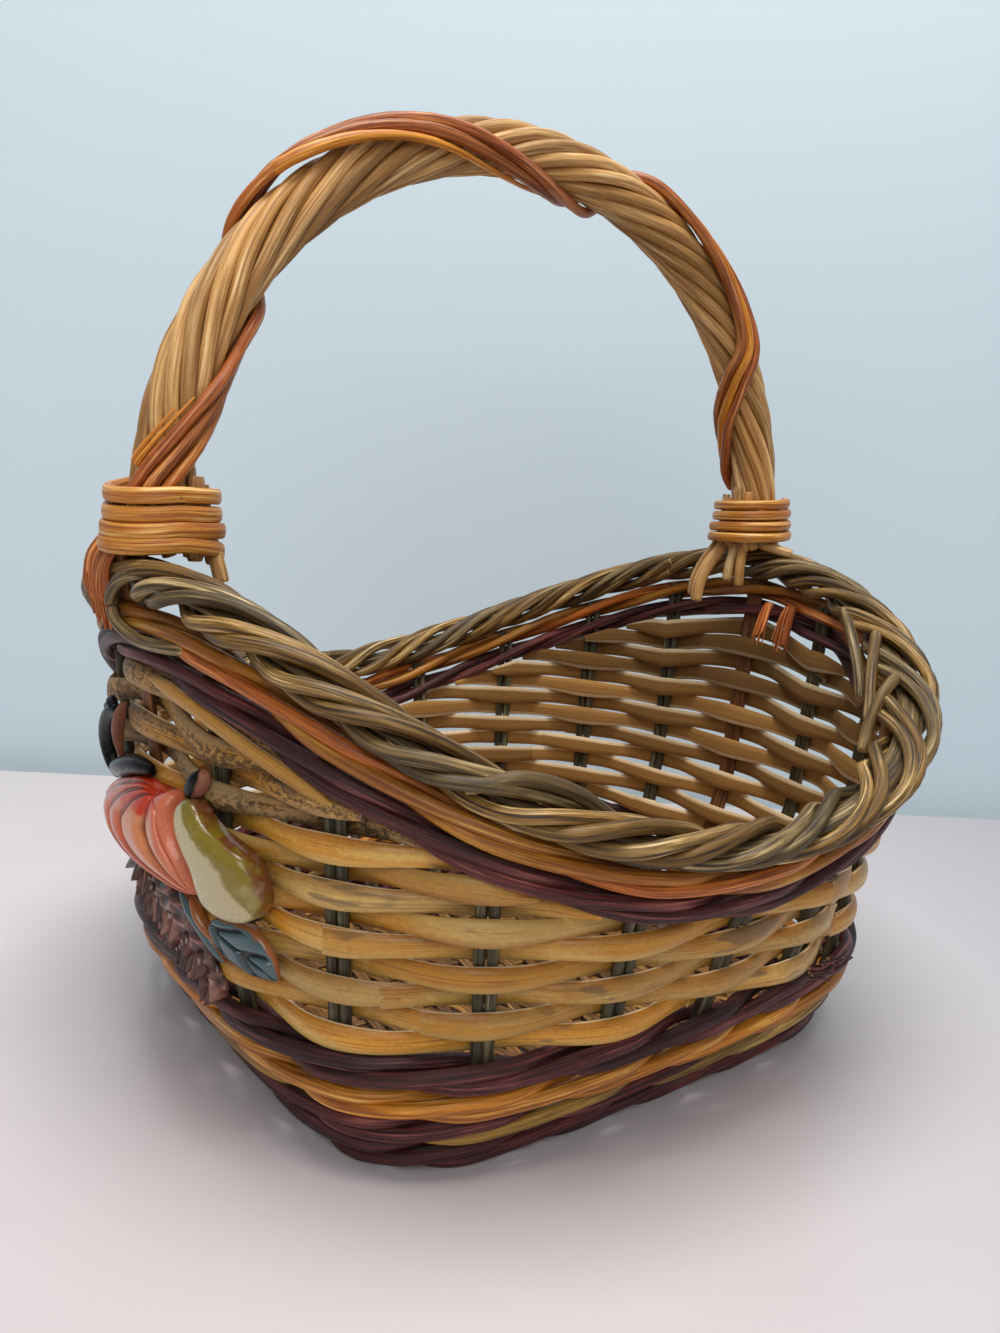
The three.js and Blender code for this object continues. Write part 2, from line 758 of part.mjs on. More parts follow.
const caneCorners = polygon(6, 1).map(([across, up]) => [
  (across * caneThickness) / 2, (up * caneHeight) / 2 / Math.cos(Math.PI / 6),
]);
['near', 'far'].forEach((end) => {
  const line = lashingLine(end === 'near' ? -1 : 1);
  const sections = tubeSections(line, caneCorners, () => new THREE.Vector3(0, 0, 1));
  addPiece(`lashing_${end}`, loft(sections, false), colours.cane, 0.4);
  console.log(`lashing_${end}: least gap to itself ${selfGap(sections).toFixed(2)} mm`);
});

// Least distance between points of the tube that are at least half a turn apart
function selfGap(sections) {
  const apart = caneStepsPerTurn / 2;
  let least = Infinity;
  sections.forEach((section, index) => {
    sections.slice(index + apart).forEach((other) => {
      section.forEach((a) => other.forEach((b) => {
        least = Math.min(least, a.distanceTo(b));
      }));
    });
  });
  return least;
}

// Ornament on the -X end

const ornamentBack = stripSwing + stripThickness / 2 + touchGap;
const ornamentPlace = (along) => nearEndPlace + along / stakeSpacing;

// A plaque with a domed face. outline gives its edge at an angle, relief its thickness at a share
// of the way from its middle to that edge.
function plaqueGeometry(along, height, outline, relief) {
  const spot = (angle, share, lift) => {
    const [dAlong, dHeight] = outline(angle);
    const place = ornamentPlace(along + dAlong * share);
    return wallPoint(place, height + dHeight * share, ornamentBack + lift);
  };
  const angles = Array.from({ length: plaqueSteps }, (unused, step) => (step / plaqueSteps) * 2 * Math.PI);
  const rings = [
    angles.map((angle) => spot(angle, plaqueBackRing, 0)),
    angles.map((angle) => spot(angle, 1, 0)),
    ...plaqueRings.map((share) => (
      angles.map((angle) => spot(angle, share, relief(share, outline(angle)[0] * share)))
    )),
  ];
  return loft(rings, false);
}

const dome = (share) => Math.sqrt(1 - plaqueEdgeDrop * share ** 2);

function pumpkinGeometry() {
  const { along, height, halfWidth, halfHeight, thickness, ribs, ribDepth } = pumpkin;
  const outline = (angle) => [halfWidth * Math.cos(angle), halfHeight * Math.sin(angle)];
  const relief = (share, offset) => {
    const rib = Math.abs(Math.cos((offset / halfWidth) * ribs * Math.PI / 2));
    return thickness * dome(share) * (1 - ribDepth * (1 - rib));
  };
  return plaqueGeometry(along, height, outline, relief);
}

function pearGeometry() {
  const { along, height, radius, neckRadius, neckLength, baseDepth, lean, thickness } = pear;
  const outline = (angle) => {
    const up = Math.sin(angle);
    const neck = Math.max(0, up) ** 2;
    const half = THREE.MathUtils.lerp(radius, neckRadius, neck);
    const rise = up > 0 ? neckLength * up : baseDepth * up;
    return [half * Math.cos(angle) + lean * rise, rise];
  };
  return plaqueGeometry(along, height, outline, (share) => thickness * dome(share));
}

function leafGeometry() {
  const { along, halfWidth, halfHeight, thickness, slope, taper } = leaf;
  const height = pear.height - pear.baseDepth - ornamentGap - halfHeight;
  const outline = (angle) => {
    const across = halfWidth * Math.cos(angle);
    const narrowed = 1 - taper * Math.cos(angle) ** 2;
    return [across, halfHeight * Math.sin(angle) * narrowed + slope * across];
  };
  return plaqueGeometry(along, height, outline, (share) => thickness * dome(share));
}

function coneGeometry() {
  const { along, halfWidth, halfHeight, thickness, teeth, toothDepth } = cone;
  const height = pumpkin.height - pumpkin.halfHeight - ornamentGap - halfHeight;
  const outline = (angle) => {
    const tooth = 1 - toothDepth * Math.abs(Math.sin((angle * teeth) / 2));
    return [halfWidth * Math.cos(angle) * tooth, halfHeight * Math.sin(angle) * tooth];
  };
  return plaqueGeometry(along, height, outline, (share) => thickness * dome(share));
}

// A round stalk that grows from the top of a fruit and lies along the wall
function stalkGeometry(topAlong, topHeight, knots, radius) {
  const line = new THREE.CatmullRomCurve3(knots.map(([along, rise]) => (
    wallPoint(ornamentPlace(topAlong + along), topHeight + rise, ornamentBack + radius)
  ))).getPoints(3 * (knots.length - 1));
  const outOfWall = () => new THREE.Vector3(-1, 0, 0);
  return loft(tubeSections(line, polygon(stalkSides, radius), outOfWall), false);
}

function vineGeometry() {
  const { along, height, halfHeight } = pumpkin;
  return stalkGeometry(along, height + halfHeight, vineKnots, vineRadius);
}

function pearStemGeometry() {
  const { along, height, neckLength, lean } = pear;
  return stalkGeometry(along + lean * neckLength, height + neckLength, stemKnots, stemRadius);
}

addPiece('ornament_pumpkin', pumpkinGeometry(), colours.pumpkin, 0.2);
addPiece('ornament_vine', vineGeometry(), colours.stem, 0.2);
addPiece('ornament_pear', pearGeometry(), colours.pear, 0.2);
addPiece('ornament_pear_stem', pearStemGeometry(), colours.stem, 0.3);
addPiece('ornament_leaf', leafGeometry(), colours.leaf, 0.2);
addPiece('ornament_cone', coneGeometry(), colours.cone, 0.5);

export default basket;
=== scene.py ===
# Looks of the harvest basket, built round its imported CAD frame.
# Shapes are worked out in millimetres and become metres where each mesh is made.
import math

import bpy
import numpy as np
from mathutils import Matrix


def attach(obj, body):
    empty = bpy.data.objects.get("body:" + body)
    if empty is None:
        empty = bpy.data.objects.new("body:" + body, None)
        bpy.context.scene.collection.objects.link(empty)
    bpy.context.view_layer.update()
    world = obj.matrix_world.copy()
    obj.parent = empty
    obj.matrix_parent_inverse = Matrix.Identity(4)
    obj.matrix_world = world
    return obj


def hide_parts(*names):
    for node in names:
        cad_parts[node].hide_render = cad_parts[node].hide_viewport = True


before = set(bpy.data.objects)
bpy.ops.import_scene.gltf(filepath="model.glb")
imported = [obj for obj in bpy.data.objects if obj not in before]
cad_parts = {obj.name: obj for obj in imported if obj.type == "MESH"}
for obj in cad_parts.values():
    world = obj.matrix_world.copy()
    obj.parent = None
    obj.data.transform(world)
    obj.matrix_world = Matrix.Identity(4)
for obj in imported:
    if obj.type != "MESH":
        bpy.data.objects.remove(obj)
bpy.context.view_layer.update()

MM = 0.001
ALONG_X, ALONG_Y, UP = np.eye(3)
chance = np.random.default_rng(12)

# Wall plans: half length along X, half width along Y and power of a superellipse, by height. Below
# a height the wall is tucked in, most of all at its foot
PLAN_HEIGHTS = (0.0, 75.0, 150.0)
PLANS = ((118.5, 109.0, 5.0), (140.0, 134.0, 2.5), (148.0, 169.0, 2.0))
FOOT_TUCK = 11.5
TUCK_HEIGHT = 32.0
SURVEY_STEPS = 720

# Rim. The powers shape its rise to the near and the far end
RIM_SIDE_HEIGHT = 113.0
RIM_END_HEIGHT = 180.0
RISE_NEAR = 2.3
RISE_FAR = 1.8

# Stakes and handle legs
STAKES = 20
NEAR_END = STAKES // 2
STAKE_DEPTH = 3.8
STAKE_FOOT = 1.5
STAKE_ROD = 1.9
LEG_WIDTH = 9.0
LEG_DEPTH = 3.0
LEG_STEP = 3.9
LEG_STUB_DROP = 5.5

# Rows of the wall, as in the frame
TOUCH_GAP = 0.35
WALE_GAP = 0.9
STRIP_GAP = 1.05
CAD_STRIP_THICKNESS = 2.2
STRIP_HEIGHT = 9.4
FULL_ROWS = 5
PACKING_PAIRS = 4
LOWER_PAIRS = 4
LOWER_CAD_ROD = 3.0
UPPER_CAD_ROD = 2.5
BORDER_STRANDS = 3
BORDER_PAIR_DEPTH = 5.0
BORDER_HALF_WIDTH = 9.0
BORDER_HALF_HEIGHT = 5.0

# Drawn otherwise than in the frame: thickness of the strips, the border's rods and how much less
# than its strands they swing out
STRIP_THICKNESS = 2.9
BORDER_ROD = 2.35
BORDER_EASE = 0.8
# Points of a rod or strip from one stake to the next
STEPS_PER_STAKE = 14

# Bow handle
BOW_SPRING = RIM_END_HEIGHT + 18.5
BOW_RISE = 139.5
BOW_RADIUS = 10.25
BOW_RODS = 9
BOW_ROD = 2.6
BOW_TWIST_PITCH = 175.0
BOW_FOOT_OUTSIDE = 11.5
BOW_FOOT_INSIDE = 16.5
BOW_FOOT_HALF_Y = 14.2
BOW_FOOT_TAPER = 9.0
BOW_GRIP_DEPTH = 12.0
BOW_CORE = 5.2
ARCH_STEPS = 400
BOW_STEPS = 260
STUB_ROD = 2.0
STUB_INSET = 0.3
STUB_STEPS = 8
# Where the stubs stand round the inner side of a foot, in degrees
STUB_TURNS = range(-100, 101, 25)

# Windings round the bow: share of its length, turn in degrees, 0 outside the arch, 90 to -Y, and
# how far they stand off it
WINDING_KNOTS = (
    (0.035, 42, 0), (0.05, 60, 0), (0.08, 100, 0), (0.135, 158, 0), (0.182, 185, 0), (0.215, 240, 0),
    (0.25, 315, 0.5), (0.29, 360, 2.2), (0.34, 390, 1.6), (0.39, 424, 0.3), (0.445, 475, 0),
    (0.51, 528, 0), (0.575, 590, 0), (0.61, 670, 0), (0.645, 733, 0.3), (0.7, 768, 0.6),
    (0.785, 806, 0.3), (0.82, 862, 0), (0.86, 910, 1), (0.9, 945, 0.5), (0.935, 1000, 0),
)
# Rods of the windings: offset in rods before and after they cross behind the crown, from and to
# which share of the bow, thickness at the two ends, and how far they have the other colour
RUST_WINDINGS = (
    (-2.0, -2.0, 0.0, 1.0, (1.0, 1.0), 0.2),
    (0.0, 2.0, 0.0, 1.0, (1.0, 1.0), 0.6),
)
GOLD_WINDINGS = (
    (2.0, 2.0, 0.045, 0.3, (0.9, 0.9), 1.0),
    (2.0, 2.0, 0.28, 0.53, (1.1, 0.3), 0.0),
    (0.0, 0.0, 0.6, 0.93, (0.9, 1.0), 0.1),
    (-3.6, -3.6, 0.05, 0.105, (0.55, 0.2), 0.2),
    (-4.5, -4.5, 0.05, 0.09, (0.45, 0.2), 0.2),
)
WINDING_CROSSING = (0.53, 0.6)
WINDING_ROD = 2.15
WINDING_GAP = 0.25
WINDING_STEPS = 420
BOW_CENTRE = np.array([0.0, 0.0, BOW_SPRING])

# Lashings
CANE_HEIGHT = 4.2
CANE_TURNS = 4
CANE_PITCH = 4.9
CANE_SLACK = 0.8


# Directions and lengths

def unit(vectors):
    return vectors / np.linalg.norm(vectors, axis=-1, keepdims=True)


def walked_along(points):
    """How far along a line each of its points lies."""
    steps = np.linalg.norm(np.diff(points, axis=0), axis=1)
    return np.concatenate([[0], np.cumsum(steps)])


# Wall of the basket. Places count stakes from the +X end, through +Y, as in the frame.

def plan_reach(plan, angle):
    length, width, power = plan
    across_x = np.abs(np.cos(angle) / length) ** power
    across_y = np.abs(np.sin(angle) / width) ** power
    return (across_x + across_y) ** (-1 / power)


def plan_point(angle, height):
    """The plan at a height, blended from the given plans below and above it."""
    angle, height = np.broadcast_arrays(np.asarray(angle, float), np.asarray(height, float))
    low = height < PLAN_HEIGHTS[1]
    reaches = [plan_reach(plan, angle) for plan in PLANS]
    below = np.where(low, reaches[0], reaches[1])
    above = np.where(low, reaches[1], reaches[2])
    share = height / PLAN_HEIGHTS[1] - np.where(low, 0, 1)
    reach = below + (above - below) * share
    return np.stack([reach * np.cos(angle), reach * np.sin(angle)], -1)


def plan_normal(angle, height):
    turn = math.pi / SURVEY_STEPS
    ahead = plan_point(angle + turn, height) - plan_point(angle - turn, height)
    return unit(np.stack([ahead[..., 1], -ahead[..., 0]], -1))


survey_angles = np.linspace(0, 2 * math.pi, SURVEY_STEPS + 1)
walked = walked_along(plan_point(survey_angles, PLAN_HEIGHTS[1]))
stake_spacing = walked[-1] / STAKES


def angle_of_place(place):
    place = np.asarray(place, float)
    turns = np.floor(place / STAKES)
    return np.interp((place - turns * STAKES) * stake_spacing, walked, survey_angles) + turns * 2 * math.pi


def wall_point(place, height, out=0.0, along=0.0):
    """Points at a place and a height, then moved out from the wall and along it."""
    place, height, out, along = np.broadcast_arrays(
        *(np.asarray(value, float) for value in (place, height, out, along)))
    angle = angle_of_place(place)
    point = plan_point(angle, height)
    normal = plan_normal(angle, height)
    reach = out - FOOT_TUCK * np.maximum(0, 1 - height / TUCK_HEIGHT)
    x = point[..., 0] + normal[..., 0] * reach - normal[..., 1] * along
    y = point[..., 1] + normal[..., 1] * reach + normal[..., 0] * along
    return np.stack([x, y, height], -1)


def rim_height(place):
    cosine = np.cos(angle_of_place(place))
    rise = np.abs(cosine) ** np.where(cosine < 0, RISE_NEAR, RISE_FAR)
    return RIM_SIDE_HEIGHT + (RIM_END_HEIGHT - RIM_SIDE_HEIGHT) * rise


def cad_pair(radius):
    """Half side of one of the frame's square twined rods, and half height of the pair."""
    half = radius * math.sqrt(math.pi) / 2
    return half, half + TOUCH_GAP / 2 + half


lower_half, lower_half_height = cad_pair(LOWER_CAD_ROD)
upper_half, upper_half_height = cad_pair(UPPER_CAD_ROD)
lower_swing = STAKE_DEPTH / 2 + WALE_GAP + lower_half
lower_pitch = 2 * lower_half_height + TOUCH_GAP
upper_pitch = 2 * upper_half_height + TOUCH_GAP
lower_top = LOWER_PAIRS * lower_pitch
border_drop = BORDER_HALF_HEIGHT + BORDER_PAIR_DEPTH / 2 + TOUCH_GAP
upper_orange_drop = border_drop + upper_half_height
upper_plum_drop = upper_orange_drop + upper_pitch
row_ceiling_drop = upper_plum_drop + upper_half_height + TOUCH_GAP
full_top = RIM_SIDE_HEIGHT - row_ceiling_drop
full_pitch = (full_top - lower_top) / FULL_ROWS
# Round rods twine a little closer than the frame's square ones
LOWER_ROD = lower_pitch / 4 - 0.1
UPPER_ROD = upper_pitch / 4 - 0.05
strip_swing = STAKE_DEPTH / 2 + STRIP_GAP + CAD_STRIP_THICKNESS / 2


# Parts of a mesh. Each is points, faces, which faces are flat, and two vectors for every point:
# grain is the distance along the rod, then the offset from its middle line across and up;
# tone is two random numbers for the rod, then 1 on a cut end.

# Each rod's grain starts somewhere within this length
GRAIN_SPREAD = 900.0
# Share of a rod's thickness at its ends, and how many of its points one unit of ripple covers
ROD_END = 0.86
KNOB_POINTS = 9
# Waves that make up a ripple: how many there are in a unit, and how high they are
RIPPLES = ((0.31, 0.5), (0.73, 0.3), (1.57, 0.2))


def tube_faces(count, sides, first, last):
    """Faces of a tube whose points are kept ring by ring, and which of them are flat. First and
    last are where the points of its two ends begin."""
    index = np.arange(count * sides).reshape(count, sides)
    turned = np.roll(index, -1, axis=1)
    quads = np.stack([index[:-1], index[1:], turned[1:], turned[:-1]], -1).reshape(-1, 4)
    faces = [tuple(quad) for quad in quads.tolist()]
    faces.append(tuple(range(first, first + sides)))
    faces.append(tuple(range(last + sides - 1, last - 1, -1)))
    return faces, [False] * len(quads) + [True, True]


def swept(path, profile, upright=UP, size=None, roll=None, tone=None, bare=None):
    """A solid swept along a path. Upright is any direction that the path doesn't take. Size scales
    the profile at each point, and roll turns it. Bare tells which points of the profile show bare
    wood."""
    path = np.asarray(path, float)
    count, sides = len(path), len(profile)
    tangent = unit(np.gradient(path, axis=0))
    side = unit(np.cross(tangent, np.broadcast_to(upright, path.shape)))
    top = np.cross(side, tangent)
    size = np.ones((count, 2)) if size is None else np.asarray(size, float).reshape(count, -1)
    across = profile[:, 0] * size[:, :1]
    up = profile[:, 1] * size[:, -1:]
    # The grain turns with the profile, so it keeps the offsets from before the roll
    offsets = across, up
    if roll is not None:
        turn = np.asarray(roll)[:, None]
        across, up = across * np.cos(turn) - up * np.sin(turn), across * np.sin(turn) + up * np.cos(turn)
    rings = path[:, None] + side[:, None] * across[..., None] + top[:, None] * up[..., None]
    along = walked_along(path) + chance.uniform(0, GRAIN_SPREAD)
    grain = np.stack([np.broadcast_to(along[:, None], across.shape), *offsets], -1)
    first, last = count * sides, (count + 1) * sides
    faces, flat = tube_faces(count, sides, first, last)
    tones = np.zeros((last + sides, 3))
    tones[:, :2] = chance.uniform(0, 1, 2) if tone is None else tone
    if bare is not None:
        tones[:first, 2] = np.tile(bare, count)
    tones[first:, 2] = 1
    points = np.concatenate([rings.reshape(-1, 3), rings[0], rings[-1]])
    grains = np.concatenate([grain.reshape(-1, 3), grain[0], grain[-1]])
    return points, faces, flat, grains, tones


def circle(sides):
    angles = np.arange(sides) / sides * 2 * math.pi
    return np.stack([np.cos(angles), np.sin(angles)], -1)


def rod(path, radius, sides, upright=UP, taper=(1, 1), knobs=0.03, tone=None):
    """A round rod that tapers evenly, with slight thick and thin places and rounded ends."""
    count = len(path)
    share = np.linspace(0, 1, count)
    size = radius * (taper[0] + (taper[1] - taper[0]) * share)
    size = size * (1 + knobs * ripple(share * count / KNOB_POINTS))
    size[[0, -1]] *= ROD_END
    return swept(path, circle(sides), upright, size, tone=tone)


def ripple(values):
    """A smooth random curve between about -1 and 1."""
    total = np.zeros(len(values))
    for frequency, amount in RIPPLES:
        total += amount * np.sin(values * frequency * 2 * math.pi + chance.uniform(0, 6.3))
    return total


def smooth_path(knots, steps):
    """A smooth curve through knots of any dimension, stepped evenly from knot to knot."""
    knots = np.asarray(knots, float)
    padded = np.vstack([2 * knots[0] - knots[1], knots, 2 * knots[-1] - knots[-2]])
    spot = np.linspace(0, len(knots) - 1, steps)
    base = np.minimum(spot.astype(int), len(knots) - 2)
    t = (spot - base)[:, None]
    a, b, c, d = (padded[base + k] for k in range(4))
    return 0.5 * (2 * b + (c - a) * t + (2 * a - 5 * b + 4 * c - d) * t ** 2
                  + (3 * b - a - 3 * c + d) * t ** 3)


def wall_curve(knots, steps):
    """A smooth curve through knots given by place, height and distance out from the wall."""
    return wall_point(*smooth_path(knots, steps).T)


def joined(parts):
    """Several parts of a mesh as one."""
    points, faces, flat, grains, tones = [], [], [], [], []
    offset = 0
    for part in parts:
        points.append(part[0])
        faces += [tuple(corner + offset for corner in face) for face in part[1]]
        flat += part[2]
        grains.append(part[3])
        tones.append(part[4])
        offset += len(part[0])
    return np.concatenate(points), faces, flat, np.concatenate(grains), np.concatenate(tones)


def piece(name, parts, material, nodes, slot):
    """One named object made of parts, in place of the given nodes of the frame."""
    points, faces, flat, grains, tones = joined(parts)
    mesh = bpy.data.meshes.new(name)
    mesh.from_pydata((points * MM).tolist(), [], faces)
    for label, values in (("grain", grains * MM), ("tone", tones)):
        attribute = mesh.attributes.new(label, "FLOAT_VECTOR", "POINT")
        attribute.data.foreach_set("vector", np.asarray(values, np.float32).ravel())
    mesh.polygons.foreach_set("use_smooth", [not is_flat for is_flat in flat])
    mesh.materials.append(material)
    mesh.update()
    made = bpy.data.objects.new(name, mesh)
    bpy.context.scene.collection.objects.link(made)
    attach(made, "root")
    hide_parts(*nodes)


# Materials

def colour(red, green, blue):
    """A colour given as it looks on screen, from 0 to 255."""
    def linear(value):
        value /= 255
        return value / 12.92 if value <= 0.04045 else ((value + 0.055) / 1.055) ** 2.4
    return (linear(red), linear(green), linear(blue), 1.0)


class Paint:
    """A material whose nodes are added one by one."""

    def __init__(self, name):
        self.material = bpy.data.materials.new(name)
        self.material.use_nodes = True
        self.nodes = self.material.node_tree.nodes
        self.links = self.material.node_tree.links
        self.shader = self.nodes["Principled BSDF"]

    def put(self, socket, value):
        if isinstance(value, bpy.types.NodeSocket):
            self.links.new(value, socket)
        else:
            socket.default_value = value

    def added(self, kind, inputs, **settings):
        """A new node with its settings, and its inputs given by number or by name."""
        node = self.nodes.new("ShaderNode" + kind)
        for name, value in settings.items():
            setattr(node, name, value)
        for key, value in inputs.items():
            self.put(node.inputs[key], value)
        return node

    def attribute(self, name):
        return self.added("Attribute", {}, attribute_name=name).outputs["Vector"]

    def spot(self):
        return self.added("TexCoord", {}).outputs["Object"]

    def part(self, vector, axis):
        return self.added("SeparateXYZ", {0: vector}).outputs["XYZ".index(axis)]

    def stretched(self, vector, scale):
        return self.added("VectorMath", {0: vector, 1: scale}, operation="MULTIPLY").outputs[0]

    def moved(self, vector, offset):
        return self.added("VectorMath", {0: vector, 1: offset}, operation="ADD").outputs[0]

    def noise(self, vector, scale=1.0, detail=3.0, roughness=0.55):
        inputs = {"Vector": vector, "Scale": scale, "Detail": detail, "Roughness": roughness}
        return self.added("TexNoise", inputs).outputs[0]

    def times(self, first, second):
        return self.added("Math", {0: first, 1: second}, operation="MULTIPLY").outputs[0]

    def times_plus(self, first, second, third):
        """First times second, plus third."""
        inputs = {0: first, 1: second, 2: third}
        return self.added("Math", inputs, operation="MULTIPLY_ADD").outputs[0]

    def ranged(self, value, low, high, new_low=0.0, new_high=1.0):
        """A value brought softly from one range to another."""
        inputs = {"Value": value, "From Min": low, "From Max": high, "To Min": new_low, "To Max": new_high}
        return self.added("MapRange", inputs, interpolation_type="SMOOTHSTEP").outputs["Result"]

    def grey(self, value):
        """The same value on all three axes, or in all three colours."""
        return self.added("CombineXYZ", {0: value, 1: value, 2: value}).outputs[0]

    def wobble(self, value):
        """Noise brought to about -0.15 to 0.15, to make an edge between colours uneven."""
        return self.times_plus(value, 0.6, -0.3)

    def mix(self, share, first, second, blend="MIX"):
        inputs = {0: share, 6: first, 7: second}
        return self.added("Mix", inputs, data_type="RGBA", blend_type=blend).outputs[2]

    def over(self, body, shade, value, low, high, least=0.0, most=1.0):
        """The body under a colour, whose share runs from least to most as a value runs from low
        to high."""
        return self.mix(self.ranged(value, low, high, least, most), body, colour(*shade))

    def bump(self, height, distance):
        node = self.added("Bump", {"Distance": distance, "Height": height})
        self.put(self.shader.inputs["Normal"], node.outputs[0])

    def finish(self, base, roughness, coat=0.0, coat_roughness=0.2, shine=0.35):
        inputs = {"Base Color": base, "Roughness": roughness, "Specular IOR Level": shine,
                  "Coat Weight": coat, "Coat Roughness": coat_roughness}
        for name, value in inputs.items():
            self.put(self.shader.inputs[name], value)
        return self.material


class WoodPaint(Paint):
    """A paint whose marks follow the grain of each rod or strip."""

    def __init__(self, name):
        super().__init__(name)
        self.grain = self.attribute("grain")
        self.tone = self.attribute("tone")
        self.where = self.moved(self.grain, self.stretched(self.tone, (3.0, 1.7, 0.0)))

    def marks(self, along, across, up, detail, roughness=0.55):
        """Noise, given how fine it is in each direction of the grain."""
        place = self.stretched(self.where, (along, across, up))
        return self.noise(place, detail=detail, roughness=roughness)

    def shaded(self, body, darkest, lightest):
        """The body made darker or lighter by the first random number of its rod or strip."""
        light = self.ranged(self.part(self.tone, "X"), 0, 1, darkest, lightest)
        return self.mix(1.0, body, self.grey(light), "MULTIPLY")


# Colours of the rods' cut ends, of the strips' split edges and of scuffed bark
PITH = (214, 182, 130)
EDGE_WOOD = (242, 214, 172)
SCUFFED_BARK = (112, 88, 60)


def rod_paint(name, base, other, dark, light, blotch, rough=0.5, coat=0.2, groove=0.0003):
    """Bark or peeled rod: streaks along the grain, the light ones partly painted highlights, long blotches,
    flecks and paler cut ends. Some rods are of the other colour. Blotch is the share that the dark colour
    covers."""
    paint = WoodPaint(name)
    streaks = paint.marks(28, 950, 950, 4, 0.65)
    fibres = paint.marks(60, 3200, 3200, 2)
    blotches = paint.marks(22, 120, 120, 3)
    flecks = paint.marks(260, 900, 900, 2)
    kind = paint.ranged(paint.part(paint.tone, "Y"), 0.4, 0.8)
    body = paint.mix(kind, colour(*base), colour(*other))
    body = paint.mix(paint.ranged(streaks, 0.34, 0.6), colour(*dark), body)
    body = paint.over(body, dark, blotches, 0.5 - blotch * 0.3, 0.75 - blotch * 0.3, blotch, 0)
    # Light streaks where streaks and blotches run high: paler grain, and painted highlights as well
    lit = paint.times(paint.ranged(streaks, 0.5, 0.72), paint.ranged(blotches, 0.42, 0.62))
    body = paint.mix(lit, body, colour(*light))
    body = paint.over(body, dark, flecks, 0.66, 0.74, 0, 0.55)
    body = paint.shaded(body, 0.72, 1.22)
    body = paint.over(body, PITH, paint.part(paint.tone, "Z"), 0.4, 0.6)
    height = paint.times_plus(fibres, 0.35, streaks)
    paint.bump(paint.times_plus(blotches, 0.6, height), groove)
    uneven = paint.ranged(blotches, 0.35, 0.7, rough + 0.12, rough - 0.1)
    return paint.finish(body, uneven, coat, 0.28)


def strip_paint(name, base, cream, dark, light, inside, rough_bark, coat):
    """Split cane: a varnished bark face outside and a dull sawn face inside. Rough bark, from 0
    to 1, is how much of the bark's mottled outer skin is left on it."""
    paint = WoodPaint(name)
    fibres = paint.marks(24, 100, 2400, 4, 0.6)
    clouds = paint.marks(26, 60, 160, 4)
    slow = paint.marks(11, 30, 50, 2)
    specks = paint.marks(480, 300, 700, 5, 0.8)
    scuffs = paint.marks(17, 60, 90, 3, 0.7)
    on_strip = paint.part(paint.grain, "Z")

    creamy = paint.times(paint.ranged(paint.part(paint.tone, "Y"), 0.2, 0.9, 0.25, 1),
                         paint.ranged(slow, 0.42, 0.54))
    bark = paint.mix(creamy, colour(*base), colour(*cream))
    bark = paint.over(bark, dark, fibres, 0.52, 0.3, 0, 0.75)
    # Pale clouds of the light colour: lighter bark that also stands in for highlights, as painted highlights
    bark = paint.over(bark, light, clouds, 0.5, 0.7, 0, 0.7)
    bark = paint.over(bark, dark, clouds, 0.4, 0.3, 0, 0.3 + rough_bark * 0.6)
    patches = paint.times_plus(clouds, 0.55, specks)
    bark = paint.over(bark, dark, patches, 0.78, 0.86, 0, rough_bark * 0.9)
    bark = paint.over(bark, light, specks, 0.46, 0.38, 0, rough_bark * 0.7)
    # Painted shade: the bark face darkens towards the edge that is up in its grain, where the rows meet, and
    # turns creamier towards the other edge
    spread = paint.times_plus(paint.wobble(clouds), 0.004, on_strip)
    bark = paint.over(bark, dark, spread, 0.0002, 0.0036, 0, 0.5)
    bark = paint.over(bark, cream, spread, -0.0008, -0.0036, 0, 0.75)
    scuffed = paint.times(paint.ranged(scuffs, 0.6, 0.64, 0, 0.75), paint.ranged(fibres, 0.35, 0.6, 0.5, 1))
    bark = paint.mix(scuffed, bark, colour(*SCUFFED_BARK))

    sawing = paint.grey(paint.times_plus(on_strip, 0.9, paint.part(paint.grain, "X")))
    saw = paint.noise(paint.stretched(sawing, (1500, 0, 0)), detail=2)
    sawn = paint.over(colour(*inside), [value * 0.62 for value in inside], saw, 0.35, 0.65, 0, 0.55)
    sawn = paint.over(sawn, light, fibres, 0.5, 0.75, 0, 0.3)

    is_inside = paint.ranged(paint.part(paint.grain, "Y"), -0.0003, -0.0006)
    body = paint.mix(is_inside, bark, sawn)
    body = paint.over(body, EDGE_WOOD, paint.part(paint.tone, "Z"), 0.3, 0.7, 0, 0.85)
    body = paint.shaded(body, 0.74, 1.1)
    height = paint.times_plus(clouds, 0.5, fibres)
    height = paint.times_plus(paint.times(saw, is_inside), 0.6, height)
    height = paint.times_plus(specks, rough_bark * 2.5, height)
    paint.bump(height, 0.00022 + 0.0003 * rough_bark)
    face = paint.ranged(clouds, 0.3, 0.7, 0.46 + 0.25 * rough_bark, 0.3 + 0.25 * rough_bark)
    varnish = paint.times_plus(is_inside, -coat, coat)
    return paint.finish(body, paint.times_plus(is_inside, 0.3, face), varnish, 0.2)


